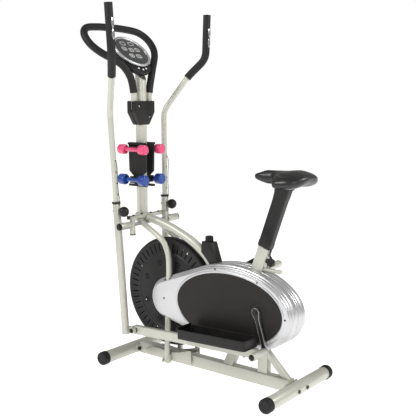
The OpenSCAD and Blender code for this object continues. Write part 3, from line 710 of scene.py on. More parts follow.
def frame_ring(length, width, bar, height):
    """A thin rounded frame, as round a read-out on a display."""
    outer, inner = slot_outline(length, width / 3.2), slot_outline(length - 2 * bar, width / 3.2 - bar * 0.6)
    stretch = width / (2 * width / 3.2)
    rings = [[(x, y * stretch, z) for x, y in line]
             for line, z in ((outer, 0), (outer, height), (inner, height), (inner, 0))]
    bm = stacked(rings, close=False)
    bmesh.ops.bridge_loops(bm, edges=[e for e in bm.edges if len(e.link_faces) == 1])
    bmesh.ops.recalc_face_normals(bm, faces=bm.faces)
    return bm


READ_OUTS = [(-46, -27, 34, 23), (-46, 25, 34, 23), (-12, -40, 30, 24), (-6, 0, 30, 24), (-8, 38, 30, 24),
             (32, -24, 30, 24), (34, 20, 36, 24)]
read_outs = [turned_to(frame_ring(long, wide, 3.6, 0.8), moved(x, y, -2.9) @ Matrix.Rotation(radians(90), 4, "Z"))
             for x, y, long, wide in READ_OUTS]
piece("display_read_outs", joined(*read_outs), segment, "frame", CONSOLE)

# %% [markdown]
# The three white buttons are small domed pads. Each rides on its own body, because it is pressed.

# %% Buttons
for name, (x, y) in {"left": (100, -24), "middle": (107, 0), "right": (100, 24)}.items():
    dome = spun([(0, 3.6), (2.6, 3.4), (4.2, 2.5), (5.0, 0.9), (5.0, -5), (0, -5)], 32, moved(x, y, -15))
    piece(f"button_{name}_pad", dome, white, f"button_{name}", CONSOLE, (f"button_{name}",))

# %% [markdown]
# ## Dumbbells and their rack
# The rack is two moulded plates on the sides of the post. Each dumbbell is cast iron dipped in vinyl, so its
# six-sided heads have large soft corners and the handle swells towards the middle.

# %% Rack
softened("dumbbell_racks", 1.8, moulded, 3)


# %% Dumbbells
def bell(head_r):
    """A dumbbell along Z, centred on the origin."""
    handle = spun([(0, -60), (9.4, -60), (8.6, -42), (9.6, -18), (10, 0), (9.6, 18), (8.6, 42), (9.4, 60),
                   (0, 60)], 32)
    parts = [handle]
    for s in (-1, 1):
        head = bmesh.new()
        bmesh.ops.create_cone(head, cap_ends=True, segments=8, radius1=head_r * 1.045, radius2=head_r * 1.045,
                              depth=38)
        rounded(head, 6.5, 4, 20)
        ends = [f for f in head.faces if abs(f.normal.z) > 0.99]
        bmesh.ops.inset_region(head, faces=ends, thickness=2.2, depth=0)
        bmesh.ops.inset_region(head, faces=ends, thickness=0.8, depth=-1.0)
        parts.append(turned_to(head, moved(0, 0, s * 61) @ Matrix.Rotation(radians(22.5), 4, "Z")))
    return joined(*parts)


BELL_X, BELL_Y = 34, 56
for level, z, head_r, dip in (("upper", 965, 23, pink), ("lower", 828, 25, blue)):
    for side, mirror in SIDES.items():
        name = f"{level}_dumbbell_{side}"
        place = HOME @ mirror @ moved(BELL_X, BELL_Y, z) @ ALONG_X
        piece(f"{name}_dipped", bell(head_r), dip, name, place, (name,), crease=50)

# %% [markdown]
# ## Chain cover
# Seen from the side the cover is a round nose drawn out into a long oval. The point of such an outline that
# faces a given way is the further one of the nose's point and the oval's point, and the outline can be
# shrunk by stepping back along that same way. Rings at several depths are stacked into half a shell.

# %% Cover outline
NOSE = Vector((228, 307))
NOSE_R = 95
COVER = Vector((586, 326))
COVER_A, COVER_B, COVER_TURN = 302, 180, radians(-2)
PLATE_Y = 62
PLATE = (569, 320)
PLATE_A, PLATE_B = 271, 149


def cover_ring(inset, y, count=144):
    """The cover's outline, shrunk by an inset, at a distance from the middle plane."""
    points = []
    for k in range(count):
        way = Vector((cos(2 * pi * k / count), sin(2 * pi * k / count)))
        own = Matrix.Rotation(-COVER_TURN, 2) @ way
        reach = hypot(COVER_A * own.x, COVER_B * own.y)
        far = Matrix.Rotation(COVER_TURN, 2) @ Vector((COVER_A ** 2 * own.x, COVER_B ** 2 * own.y)) / reach
        point = max(NOSE + NOSE_R * way, COVER + far, key=lambda p: p.dot(way)) - inset * way
        points.append((point.x, y, point.y))
    return points


# %% [markdown]
# The side wall has a fine groove near the seam and a step above it, then a rounded shoulder runs into the
# flat face. The wheel, the tubes and the fork leg pass through openings that are cut afterwards.

# %% Cover halves
COVER_LEVELS = [(0.6, 0.2), (0, 1.0), (0, 11.6), (0.5, 12.3), (1.8, 12.8), (1.8, 15.2), (0.5, 15.7), (0, 16.4),
                (0, 36), (0.3, 39), (1.2, 41.8), (2.8, 44.2), (5.0, 45.6), (7.0, 46.1), (7.9, 46.6), (8.3, 47.5),
                (8.4, 51), (8.9, 53), (10.2, 54.6), (12.2, 55.4), (14.0, 55.7), (14.9, 56.3), (15.2, 57.2),
                (15.4, 59), (16.4, 60.8), (18.4, 61.7), (21, PLATE_Y)]
COVER_WALL = 2.5
SEAT_LEAN = radians(19.5)
SEAT = moved(714, 0, 587) @ Matrix.Rotation(SEAT_LEAN, 4, "Y")


def cover_half():
    """One half of the chain cover, with its openings."""
    outer = stacked([cover_ring(inset, y) for inset, y in COVER_LEVELS])
    inner = stacked([cover_ring(inset + COVER_WALL, y - COVER_WALL) for inset, y in COVER_LEVELS])
    wheel_gap = spun([(0, -3), (WHEEL_R + 6, -3), (WHEEL_R + 6, 30.5), (0, 30.5)], 96,
                     moved(WHEEL_X, 0, WHEEL_Z) @ ALONG_Y)
    shell = cut_by(cut_by(outer, inner), wheel_gap)
    openings = [block((202, -3, 80), (252, 59.2, 230)), block((215, -4, 380), (255, 59, 480)),
                block((689, -5, 100), (745, 16, 200)), turned_to(block((-26, -6, -160), (26, 16.5, 140)), SEAT),
                turned_to(prism([(530, 100), (590, 100), (630, 200), (560, 200)], -7, 16), FACE_SIDE)]
    for opening in openings:
        shell = cut_by(shell, opening)
    return cut_by(shell, pipe(main_line[20:], MAIN_R + 1))


def plate_ring(grow, y, count=120):
    """The oval plate's outline, grown or shrunk, at a distance from the middle plane."""
    return [(x, y, z) for x, z in oval(PLATE_A + grow, PLATE_B + grow, count, PLATE)]


def shoulder():
    """The raised bright ring that frames the oval plate."""
    bm = stacked([plate_ring(grow, y) for grow, y in
                  ((11.5, PLATE_Y - 5), (11.2, PLATE_Y - 0.4), (10, PLATE_Y + 1.1), (8, PLATE_Y + 2.1),
                   (5.6, PLATE_Y + 2.5), (3.2, PLATE_Y + 2.3), (1.3, PLATE_Y + 1.3), (0.6, PLATE_Y - 3))], close=False)
    bmesh.ops.bridge_loops(bm, edges=[e for e in bm.edges if len(e.link_faces) == 1])
    bmesh.ops.recalc_face_normals(bm, faces=bm.faces)
    return bm


for side, mirror in SIDES.items():
    piece(f"cover_{side}_shell", joined(cover_half(), shoulder()), silver, "frame", HOME @ mirror,
          (f"cover_{side}",), crease=60)

# %% [markdown]
# The dark plate is a shallow pebbled dish with a raised boss round the crank axle.

# %% Oval plates
CRANK_X, CRANK_Z = 722, 334


def oval_plate():
    """One plate, with its boss, on the right side."""
    dish = stacked([plate_ring(grow, y) for grow, y in
                    ((0, PLATE_Y - 2), (0, PLATE_Y + 0.6), (-1.2, PLATE_Y + 1.3), (-4, PLATE_Y + 1.5))])
    ring = spun([(13, 0), (13, 3.2), (15, 3.8), (26, 3.8), (29, 3.2), (31, 1.6), (32, 0)], 64,
                moved(CRANK_X, PLATE_Y + 0.4, CRANK_Z) @ ALONG_Y)
    rim = spun([(37, 0), (37.6, 1.4), (39.4, 1.9), (41.2, 1.4), (42, 0)], 64,
               moved(CRANK_X, PLATE_Y + 1.1, CRANK_Z) @ ALONG_Y)
    return joined(dish, ring, rim)


plates = [turned_to(oval_plate(), mirror) for mirror in SIDES.values()]
piece("side_plates", joined(*plates), pebbled, "frame", stands_for=("oval_plates",))

# %% [markdown]
# ## Fan wheel
# Two moulded discs face the wheel. Each has a ring of radial slots near its rim, where the air leaves, four
# groups of small round vents, and raised rings that stiffen it.

# %% Wheel discs
SLOTS = 48
VENTS = [(0, 0)] + [(11 * cos(a), 11 * sin(a)) for a in (2 * pi * k / 6 for k in range(6))]


def wheel_disc():
    """One disc, facing +Z, with its slots and vents cut through."""
    outside = [(17.6, 20), (17.6, 25), (22, 25.4), (40, 25.4), (46, 23.6), (60, 22.4), (96, 22.2), (98, 23.4),
               (102, 23.4), (104, 22.2), (172, 22.2), (174, 23.6), (179, 23.6), (181, 22.4), (228, 22.4),
               (231, 24), (238, 24), (242, 22.6), (243.6, 19.6), (243.6, 5)]
    inside = [(241.4, 5), (241.4, 19), (236, 20), (19, 20)]
    disc = spun(outside + inside + outside[:1], 144)
    cutters = []
    for k in range(SLOTS):
        cutters.append(turned_to(block((186, -2.6, 10), (224, 2.6, 34)),
                                 Matrix.Rotation(2 * pi * k / SLOTS, 4, "Z")))
    for k in range(8):
        for x, y in VENTS:
            vent = bmesh.new()
            bmesh.ops.create_cone(vent, cap_ends=True, segments=12, radius1=3.4, radius2=3.4, depth=24)
            cutters.append(turned_to(vent, Matrix.Rotation(pi * (k + 0.5) / 4, 4, "Z") @ moved(140 + x, y, 22)))
    return cut_by(disc, joined(*cutters))


discs = [turned_to(wheel_disc(), mirror @ moved(WHEEL_X, 0, WHEEL_Z) @ ALONG_Y) for mirror in SIDES.values()]
piece("wheel_discs", joined(*discs), shell_black, "wheel", stands_for=("wheel_shells",), crease=30)

# %% [markdown]
# ## Cranks
# A crank is a forged bar: a round boss, a slightly tapered arm and an eye for the pin. Its rim is bright
# where the forging was ground, and its face is black.

# %% Cranks
CRANK_R, CRANK_REST = 161, 17
CRANK_IN, CRANK_OUT = 67, 80
EYE_R, BOSS_R = 13, 19


def crank():
    """A crank that hangs straight down from the origin, with its outer face along +Y."""
    lean = (BOSS_R - EYE_R) / CRANK_R * 0.9
    arc = [radians(180 + 10 * k) for k in range(19)]
    eye = [(EYE_R * cos(a), -CRANK_R + EYE_R * sin(a)) for a in arc]
    waist = [(10.5, -CRANK_R + 30), (10.5, -30), (BOSS_R * cos(lean), -4)]
    boss = [(BOSS_R * cos(radians(10 * k)), BOSS_R * sin(radians(10 * k))) for k in range(19)]
    outline = eye + waist + boss + [(-x, z) for x, z in reversed(waist)]
    bm = prism(outline, CRANK_IN, CRANK_OUT)
    rounded(bm, 1.4, 3)
    faces = [f for f in bm.faces if f.normal.z > 0.99 and f.calc_area() > 500]
    inner = bmesh.ops.inset_region(bm, faces=faces, thickness=1.6, depth=0)
    bmesh.ops.inset_region(bm, faces=faces, thickness=0.6, depth=-0.8)
    for face in faces + inner["faces"]:
        face.material_index = 1
    turned_to(bm, FACE_SIDE)
    return bm


for side, mirror in SIDES.items():
    turn = -CRANK_REST if side == "left" else 180 - CRANK_REST
    place = HOME @ moved(CRANK_X, 0, CRANK_Z) @ Matrix.Rotation(radians(turn), 4, "Y") @ mirror
    nut = spun([(0, 5.2), (6, 5.2), (7.6, 4.2), (7.6, 0), (0, 0)], 6, moved(0, CRANK_OUT - 0.6, 0) @ ALONG_Y)
    washer = spun([(0, 1), (11, 1), (11.6, 0.4), (11.6, 0), (0, 0)], 32, moved(0, CRANK_OUT - 0.6, 0) @ ALONG_Y)
    forged = crank()
    for shape in (nut, washer):
        for face in shape.faces:
            face.material_index = 1
    piece(f"crank_{side}_forged", joined(forged, nut, washer), [steel, black_steel], "crankset", place,
          (f"crank_{side}",))

# %% [markdown]
# ## Seat
# The saddle is a padded cushion. A rounded body is built first: a thick narrow nose that turns into two wide
# wings, whose outer edges hang lower than the middle. It is remeshed and blown up a little as cloth, so that
# its top swells, and then a crease is pressed between the nose and the wings.

# %% Saddle body
SADDLE_START, SADDLE_END = 660, 930
ROUNDNESS = 3.2


def smooth_step(t):
    """0 to 1 with a soft start and end."""
    t = min(max(t, 0), 1)
    return t * t * (3 - 2 * t)


def saddle_body():
    """The saddle before it is padded out, in metres: a rounded block whose sides are shaped along its length."""
    bm = bmesh.new()
    bmesh.ops.create_cube(bm, size=2)
    bmesh.ops.subdivide_edges(bm, edges=bm.edges, cuts=27, use_grid_fill=True)
    for v in bm.verts:
        x, y, z = v.co / sum(abs(c) ** ROUNDNESS for c in v.co) ** (1 / ROUNDNESS)
        along, across = (x + 1) / 2, abs(y)
        wing = smooth_step((along - 0.33) / 0.27)
        top = (907 - 3 * smooth_step(along / 0.35) + 7 * smooth_step((along - 0.5) / 0.3)
               - (4 + 19 * wing) * across ** 2.2)
        low = 865 - 9 * smooth_step(along / 0.3) - 20 * wing * across ** 1.5
        v.co = (SADDLE_START + along * (SADDLE_END - SADDLE_START), y * (27 + 82 * wing),
                low + (top - low) * (z + 1) / 2)
    return turned_to(bm, HOME)


# %% Padding by cloth
def padded_out(obj, voxel, pressure, cap):
    """Remeshes a closed body, blows it up as cloth and keeps every point within a cap of where it was."""
    remesh = obj.modifiers.new("skin", "REMESH")
    remesh.mode = "VOXEL"
    remesh.voxel_size = voxel
    depsgraph = bpy.context.evaluated_depsgraph_get()
    skin = bpy.data.meshes.new_from_object(obj.evaluated_get(depsgraph))
    obj.modifiers.clear()
    obj.data = skin
    rest = [v.co.copy() for v in skin.vertices]
    cloth = obj.modifiers.new("padding", "CLOTH")
    cloth.settings.use_pressure = True
    cloth.settings.uniform_pressure_force = pressure
    cloth.settings.effector_weights.gravity = 0
    cloth.point_cache.frame_start, cloth.point_cache.frame_end = 1, 20
    for step in range(1, 21):
        scene.frame_set(step)
    swollen = obj.evaluated_get(bpy.context.evaluated_depsgraph_get()).data
    after = [v.co.copy() for v in swollen.vertices]
    obj.modifiers.clear()
    scene.frame_set(1)
    for vertex, before, now in zip(skin.vertices, rest, after):
        step = now - before
        vertex.co = before + (step * (cap / step.length) if step.length > cap else step)
    print(obj.name, "swelled by up to", round(max((a - b).length for a, b in zip(after, rest)) * 1000, 1), "mm")


saddle_mesh = bpy.data.meshes.new("saddle_cushion")
body = saddle_body()
bmesh.ops.recalc_face_normals(body, faces=body.faces)
body.to_mesh(saddle_mesh)
body.free()
saddle = bpy.data.objects.new("saddle_cushion", saddle_mesh)
scene.collection.objects.link(saddle)
padded_out(saddle, 0.005, 4, 0.006)

# %% [markdown]
# The crease between the nose and the wings is a valley pressed into the top along a curved line on each side.
# A light smoothing and one subdivision finish the cushion. It keeps clear of the block that it sits on.

# %% Saddle crease and finish
def press_creases(mesh):
    """Presses a soft valley along each side of the nose, and keeps the underside level over its block."""
    block_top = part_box("seat_post")[1].z + 0.0006
    for v in mesh.vertices:
        place = drawing_point(v.co)
        along = (place.x - SADDLE_START) / (SADDLE_END - SADDLE_START)
        valley = 22 + 58 * smooth_step((along - 0.32) / 0.42)
        near = abs(abs(place.y) - valley) / 14
        strength = smooth_step((along - 0.28) / 0.12) * smooth_step((0.80 - along) / 0.22)
        if v.normal.z > 0.2 and near < 1:
            v.co.z -= 0.0045 * strength * (1 - near * near) ** 2
        if abs(place.y) < 25:
            v.co.z = max(v.co.z, block_top)


press_creases(saddle.data)
smoother = bmesh.new()
smoother.from_mesh(saddle.data)
for step in range(2):
    bmesh.ops.smooth_vert(smoother, verts=smoother.verts, factor=0.5,
                          use_axis_x=True, use_axis_y=True, use_axis_z=True)
smoother.to_mesh(saddle.data)
smoother.free()
saddle.data.materials.clear()
saddle.data.materials.append(vinyl)
saddle.data.shade_smooth()
fine = saddle.modifiers.new("fine", "SUBSURF")
fine.levels = fine.render_levels = 1
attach(saddle, "seat")
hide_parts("saddle")

# %% [markdown]
# A moulded sleeve covers the seat post. It is open below, where the enamelled tube comes out, and has a
# thicker hem there. A short tab hangs from its rear edge, and its top widens into a collar under the saddle.

# %% Seat sleeve
SLEEVE_LOW, SLEEVE_TOP = 7, 244


def sleeve_ring(half_x, half_y, corner, place):
    """A rounded rectangle, carried to its place."""
    arcs = []
    for sx, sy, start in ((1, 1, 0), (-1, 1, 90), (-1, -1, 180), (1, -1, 270)):
        for k in range(7):
            a = radians(start + 15 * k)
            arcs.append(place @ Vector((sx * (half_x - corner) + corner * cos(a),
                                        sy * (half_y - corner) + corner * sin(a), 0)))
    return arcs


def sleeve():
    """The black cover over the seat post: it leans with the tube and flares into a level collar on top."""
    lean = [(27.4, 18.4, 6, SLEEVE_LOW + 60), (27.4, 18.4, 6, SLEEVE_LOW), (28.4, 19.4, 7, SLEEVE_LOW - 0.6),
            (29.6, 20.6, 8, SLEEVE_LOW + 0.6), (30.0, 21.0, 8, SLEEVE_LOW + 4), (30.0, 21.0, 8, 31),
            (29.6, 20.6, 8, 33), (29, 20, 8, 34.5), (29, 20, 8, 120), (29, 20, 8, 200), (29.4, 20.4, 8, 222),
            (31, 21.4, 8, SLEEVE_TOP)]
    rings = [sleeve_ring(x, y, corner, SEAT @ moved(0, 0, z)) for x, y, corner, z in lean]
    level = [(33.6, 22.8, 8, 838), (35.6, 23.8, 8, 850), (35.6, 23.8, 8, 858)]
    rings += [sleeve_ring(x, y, corner, moved(801, 0, z)) for x, y, corner, z in level]
    bm = stacked(rings, close=False)
    top = [e for e in bm.edges if len(e.link_faces) == 1 and e.verts[0].co.z > 800]
    bmesh.ops.contextual_create(bm, geom=top)
    bmesh.ops.recalc_face_normals(bm, faces=bm.faces)
    tab = rounded(prism([(29, 8), (32.5, 8), (32.5, -16), (30.6, -25), (29, -16)], -6, 6), 0.8)
    turned_to(tab, SEAT @ FACE_SIDE)
    return joined(bm, tab)


piece("seat_post_sleeve", sleeve(), moulded, "seat", stands_for=("seat_sleeve",))

# %% [markdown]
# The seat's clamp knob has three lobes, one of them on top, and sits on a short round neck.

# %% Seat knob
CLAMP_Z = -44


def lobed(radius, lobes, swing, z, count=72):
    """A ring whose radius swells into lobes."""
    return [((radius + swing * cos(lobes * 2 * pi * k / count)) * cos(2 * pi * k / count),
             (radius + swing * cos(lobes * 2 * pi * k / count)) * sin(2 * pi * k / count), z) for k in range(count)]


def seat_knob():
    """The clamp knob along +Z, with its stem at the origin."""
    grip = stacked([lobed(r, 3, swing, z) for r, swing, z in
                    ((12, 0.5, 38), (14.4, 3.4, 39.4), (15.2, 4.2, 42), (14.6, 4.2, 56), (13.4, 3.6, 60.4),
                     (11, 2.4, 62.4), (7, 1, 63))])
    turned_to(grip, Matrix.Rotation(pi, 4, "Z"))
    neck = spun([(0, 24), (6, 24), (6, 28), (10.4, 29), (11, 31), (11, 37), (12, 39), (0, 39)], 40)
    return joined(grip, neck)


piece("seat_clamp_knob", seat_knob(), moulded, "seat_knob", HOME @ SEAT @ moved(0, 0, CLAMP_Z) @ ALONG_X,
      ("seat_knob",))

# %% [markdown]
# The resistance unit's knob is ribbed like a bottle cap, with a pointer on its top.

# %% Tension knob
TENSION = (427, 0, 582.4)


def tension_knob():
    """The ribbed knob, standing on the origin."""
    grip = stacked([lobed(r, 14, swing, z, 168) for r, swing, z in
                    ((15.6, 0.2, 0.2), (16.4, 1.2, 2), (16.6, 1.7, 5), (16.2, 1.7, 19), (15.4, 0.8, 22.4),
                      (13.4, 0.1, 23.8))])
    pointer = rounded(block((2, -1.4, 23), (13, 1.4, 24.6)), 0.6)
    return joined(grip, pointer)


piece("tension_dial", tension_knob(), moulded, "tension_knob", HOME @ moved(*TENSION), ("tension_knob",))

# %% [markdown]
# ## Swing arms
# An arm's drawing frame is its tube's centre line. The slide joint runs along that line, so its axis gives
# the arm's tilt, and the swing joint gives the pivot.

# %% Arm frames
ARM_BACK, ARM_Y, ARM_SPLAY = 42, 160, radians(1.7)
ARM_R, COLLAR_TOP, KNOB_Z = 17, 104, 64


def pivot_frame(side):
    """Where the side's arm hangs, before its own offsets."""
    axis = joints[f"{side}_handle_set"]["axis"]
    pivot = drawing_point(joints[f"{side}_swing"]["pos_m"])
    return HOME @ moved(*pivot) @ Matrix.Rotation(atan2(axis[0], axis[2]), 4, "Y") @ SIDES[side]


def arm_frame(side):
    """The centre line of the side's arm tube."""
    return pivot_frame(side) @ moved(-ARM_BACK, ARM_Y, 0) @ Matrix.Rotation(-ARM_SPLAY, 4, "X")


# %% [markdown]
# The upper arm is bent outwards and back, and ends in a foam grip. Two lens-shaped chrome plates on the
# grip's rear read the pulse. A black band parts them.

# %% Upper arms, grips and pulse plates
upper_line = bent([(0, 0, -34), (0, 0, 500), (95, 67, 660), (158, 123, 742), (164, 128, 938)], 34)
GRIP_FROM = 16
grip_line = upper_line[GRIP_FROM:-1] + [upper_line[-1] + 5 * (upper_line[-1] - upper_line[-2]).normalized()]
GRIP_R = 17.5
grip_top = grip_line[-1]
grip_way = (grip_line[-1] - grip_line[-2]).normalized()


def pulse_plate(low, high):
    """A chrome plate, pointed at both ends, that wraps the rear of the grip between two heights."""
    rings = []
    steps = 12
    for k in range(steps + 1):
        t = k / steps
        centre = grip_top + grip_way * (low + (high - low) * t - 205)
        half = radians(3 + 25 * sin(pi * t) ** 0.8)
        ring = [GRIP_R + lift for lift in (-1.5, 0.4 + 1.6 * sin(pi * t) ** 0.5)]
        arc = [half * (2 * i / 8 - 1) for i in range(9)]
        outer = [(centre.x + ring[1] * cos(a), centre.y + ring[1] * sin(a), centre.z) for a in arc]
        inner = [(centre.x + ring[0] * cos(a), centre.y + ring[0] * sin(a), centre.z) for a in reversed(arc)]
        rings.append(outer + inner)
    return stacked(rings)


def hole_shade_studs():
    """Dark studs where the adjustment holes are, on the front and rear of the tube: painted shade that stands for the
    dark inside of each hole.
    """
    return joined(*[spun([(0, -13), (3.2, -13), (3.2, 13), (0, 13)], 20, moved(0, 0, z) @ ALONG_X)
                    for z in (140, 190, 240, 290)])


for side in SIDES:
    body = f"{side}_handle"
    place = arm_frame(side)
    piece(f"upper_arm_{side}_tube", pipe(upper_line, TUBE_R, 0.8), enamel, body, place, (f"upper_arm_{side}",))
    piece(f"grip_{side}_foam", pipe(grip_line, GRIP_R, 3.2, 14), foam, body, place, (f"grip_{side}",))
    plates = joined(pulse_plate(56, 99), pulse_plate(102, 145))
    piece(f"pulse_plates_{side}", plates, chrome, body, place, crease=50)
    # The dark studs are painted shade that stands for the insides of the adjustment holes.
    piece(f"arm_hole_shades_{side}", hole_shade_studs(), rubber, body, place)

# %% [markdown]
# A dark plastic collar closes the lower tube's mouth. Below it the ball knob clamps the upper tube, with a
# square block between the ball and the tube and a cap nut in front.

# %% Collars and ball knobs
def collar():
    """The collar on the lower arm's mouth, with a small ear."""
    ring = spun([(TUBE_R + 0.4, COLLAR_TOP + 3), (ARM_R + 0.9, COLLAR_TOP + 3), (ARM_R + 1.8, COLLAR_TOP + 1.6),
                 (ARM_R + 1.8, COLLAR_TOP - 5), (ARM_R + 0.2, COLLAR_TOP - 6), (TUBE_R + 0.4, COLLAR_TOP - 6),
                 (TUBE_R + 0.4, COLLAR_TOP + 3)], 48)
    ear = rounded(block((-26, -3, COLLAR_TOP - 4), (-ARM_R, 3, COLLAR_TOP + 1.5)), 1)
    return joined(ring, ear)


def ball_knob():
    """The ball, its neck, the clamp block and the cap nut, along +Z from the tube's centre."""
    ball = [(23 * sin(radians(a)), ARM_R + 25.5 - 23 * cos(radians(a))) for a in range(24, 181, 6)]
    head = spun([(0, ARM_R + 1), (9, ARM_R + 1), (9.2, ARM_R + 3.6)] + ball[:-1] + [(0, ball[-1][1])], 48)
    clamp = rounded(block((-11, -9, ARM_R + 0.3), (11, 9, ARM_R + 6.5)), 1.4)
    nut = spun([(0, -ARM_R - 7), (4.6, -ARM_R - 6), (6, -ARM_R - 3), (6, -ARM_R - 0.3), (0, -ARM_R - 0.3)], 24)
    return joined(head, clamp, nut)


for side in SIDES:
    piece(f"arm_collar_{side}", collar(), moulded, f"{side}_arm", arm_frame(side))
    piece(f"ball_knob_{side}", ball_knob(), moulded, f"{side}_knob",
          arm_frame(side) @ moved(0, 0, KNOB_Z) @ ALONG_X, (f"arm_knob_{side}",))

# %% [markdown]
# The pulse lead is a thin wire that shows only between the upper tube and the collar. It follows the same
# route as its CAD tube.

# %% Pulse leads
lead_line = flowing([(14.6, 0, 292), (19, 2, 284), (23, 3, 262), (21, 2, 220), (19, 2, 170), (21, 2, 140),
                     (23, 1, 118), (20, 0, 102), (18.6, 0, 92)], 6)
for side in SIDES:
    piece(f"pulse_wire_{side}", pipe(lead_line, 1.3, 0, 4), rubber, f"{side}_arm", arm_frame(side),
          (f"pulse_lead_{side}",))

# %% [markdown]
# ## Pedal bars and foot plates
# The bar is a rectangular tube with rounded corners, a round eye in front and a cross sleeve behind that
# takes the crank pin. The foot plate is a deep black tray, ribbed for grip, with a taller lip in front.

# %% Bar frames
FOOT = {side: drawing_point(joints[f"{side}_foot"]["pos_m"]) for side in SIDES}
BAR_LEN, BAR_IN, BAR_OUT, BAR_HALF = 675, 104, 126, 20


def bar_frame(side):
    """The pedal bar's line, from its foot joint to the crank pin."""
    s = 1 if side == "right" else -1
    pin_x = CRANK_X - s * CRANK_R * sin(radians(CRANK_REST))
    pin_z = CRANK_Z + s * CRANK_R * cos(radians(CRANK_REST))
    slope = atan2(pin_z - FOOT[side].z, pin_x - FOOT[side].x)
    return HOME @ moved(*FOOT[side]) @ Matrix.Rotation(-slope, 4, "Y") @ SIDES[side]


def pedal_bar():
    """The bar, its eye, the rear sleeve with its plug and the bolts under the foot plate."""
    eye = rounded(spun([(6.4, BAR_IN), (BAR_HALF, BAR_IN), (BAR_HALF, BAR_OUT), (6.4, BAR_OUT), (6.4, BAR_IN)], 48,
                       ALONG_Y), 1.2)
    bar = rounded(block((10, BAR_IN, -BAR_HALF), (BAR_LEN - 8, BAR_OUT, BAR_HALF)), 3.0, 4)
    sleeve_r = 16
    cross = rounded(spun([(7, CRANK_OUT + 0.6), (sleeve_r, CRANK_OUT + 0.6), (sleeve_r, 171), (7, 171),
                          (7, CRANK_OUT + 0.6)], 48, moved(BAR_LEN, 0, 0) @ ALONG_Y), 1.2)
    return joined(eye, bar, cross)


def bar_trim():
    """Black plugs, washers and bolts on the bar."""
    parts = [spun([(0, 3), (10, 3), (12.6, 1.6), (13, 0), (0, 0)], 40, moved(BAR_LEN, 171, 0) @ ALONG_Y),
             spun([(0, 5.4), (5.4, 5.4), (6.6, 4.4), (6.6, 0), (0, 0)], 6, moved(BAR_LEN, 173, 0) @ ALONG_Y)]
    for x in (350, 600):
        parts.append(spun([(0, -6), (5, -6), (6.4, -4.6), (6.4, 0), (0, 0)], 6, moved(x, 115, -BAR_HALF)))
    return joined(*parts)


TRAY_IN, TRAY_OUT, TRAY_START, TRAY_LEN, TRAY_WALL = 84, 184, 300, 350, 42


def foot_plate():
    """The tray: a block hollowed from above, with ribs on its floor and a raised front lip."""
    low, high = (0, TRAY_IN, 0), (TRAY_LEN, TRAY_OUT, TRAY_WALL)
    tray = block(low, high)
    upright = [e for e in tray.edges if abs(e.verts[0].co.z - e.verts[1].co.z) > 1]
    rounded(tray, 12, 5, only=upright)
    top = [f for f in tray.faces if f.normal.z > 0.9]
    bmesh.ops.inset_region(tray, faces=top, thickness=4.2, depth=0)
    sunk = bmesh.ops.extrude_face_region(tray, geom=top)["geom"]
    bmesh.ops.translate(tray, vec=(0, 0, 5 - TRAY_WALL),
                        verts=[v for v in sunk if isinstance(v, bmesh.types.BMVert)])
    bmesh.ops.delete(tray, geom=top, context="FACES_KEEP_BOUNDARY")
    bmesh.ops.recalc_face_normals(tray, faces=tray.faces)
    rounded(tray, 1.5, 3, 50)
    lip = prism([(TRAY_IN + 2, TRAY_WALL - 6), (TRAY_OUT - 2, TRAY_WALL - 6), (TRAY_OUT - 4, TRAY_WALL + 5),
                 (TRAY_OUT - 12, TRAY_WALL + 7), (TRAY_IN + 12, TRAY_WALL + 7), (TRAY_IN + 4, TRAY_WALL + 5)], 0, 5)
    turned_to(rounded(lip, 1.4), FACE_REAR)
    ribs = []
    for k in range(13):
        x = 24 + 25 * k
        ribs.append(rounded(block((x, TRAY_IN + 14, 4.5), (x + 7, TRAY_OUT - 14, 7.2)), 1.0, 2))
    skirt = rounded(block((6, TRAY_IN - 0.8, 12), (TRAY_LEN - 6, TRAY_OUT + 0.8, 15)), 0.7, 2)
    hollow = block((9, TRAY_IN + 2, 11), (TRAY_LEN - 9, TRAY_OUT - 2, 16))
    return joined(tray, lip, cut_by(skirt, hollow), *ribs)


for side in SIDES:
    place, body = bar_frame(side), f"{side}_pedal"
    piece(f"pedal_bar_{side}_tube", pedal_bar(), enamel, body, place, (f"pedal_bar_{side}",))
    piece(f"pedal_bar_{side}_trim", bar_trim(), moulded, body, place)
    piece(f"foot_plate_{side}_tray", foot_plate(), moulded, body,
          place @ moved(TRAY_START, 0, BAR_HALF + 0.1), (f"foot_plate_{side}",))

# %% [markdown]
# A black washer and cap nut close the foot joint and the arm's pivot on their outer sides.

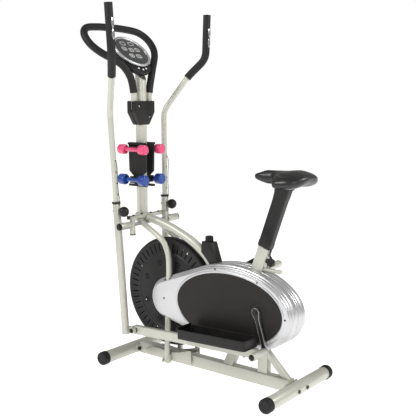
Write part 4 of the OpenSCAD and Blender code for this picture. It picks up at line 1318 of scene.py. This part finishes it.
# %% Joint caps
def button_nut(radius, rise):
    """A domed nut on a washer, standing on the origin."""
    return joined(spun([(0, rise), (radius * 0.5, rise), (radius * 0.72, rise * 0.7), (radius * 0.76, 1.2),
                        (0, 1.2)], 28),
                  spun([(0, 1.4), (radius - 0.5, 1.4), (radius, 0.9), (radius, 0), (0, 0)], 36))


for side in SIDES:
    foot_cap = turned_to(button_nut(11, 7), moved(-6, 146, -480) @ ALONG_Y)
    piece(f"foot_joint_cap_{side}", foot_cap, moulded, f"{side}_arm", pivot_frame(side))
    pivot_cap = turned_to(button_nut(14, 8), moved(PIVOT_X, 196.6, PIVOT_Z) @ ALONG_Y)
    piece(f"pivot_cap_{side}", pivot_cap, moulded, "frame", HOME @ SIDES[side])

# %% [markdown]
# ## The parts that are right as they are
# Axles, the chain, the chainring, the brake belt and the fan inside the wheel keep their CAD shape, and each
# gets its finish.

# %% Finishes on CAD parts
kept = {"pivot_axle": steel, "bottom_bracket": steel, "crank_axle": steel, "chain": steel, "chainring": steel,
        "wheel_axle": steel, "seat_post": black_steel, "fan_wheel": shell_black, "brake_belt": webbing}
for node, finish_used in kept.items():
    frame["nodes"][node].data.materials.clear()
    frame["nodes"][node].data.materials.append(finish_used)
print(len(kept), "CAD parts keep their shape")

# %% [markdown]
# ## Floor
# One broad matt sheet that glows faintly, as a lit studio floor does, so that it fades into the backdrop.

# %% Floor
floor_bm = bmesh.new()
bmesh.ops.create_grid(floor_bm, x_segments=1, y_segments=1, size=30)
floor_mesh = bpy.data.meshes.new("floor")
floor_bm.to_mesh(floor_mesh)
floor_bm.free()
floor_finish = bpy.data.materials.new("floor")
floor_finish.use_nodes = True
floor_shader = floor_finish.node_tree.nodes["Principled BSDF"]
floor_shader.inputs["Base Color"].default_value = (0.85, 0.85, 0.85, 1)
floor_shader.inputs["Roughness"].default_value = 0.9
floor_shader.inputs["Emission Color"].default_value = (1, 1, 1, 1)
floor_shader.inputs["Emission Strength"].default_value = 0.72
floor_mesh.materials.append(floor_finish)
floor = bpy.data.objects.new("floor", floor_mesh)
scene.collection.objects.link(floor)
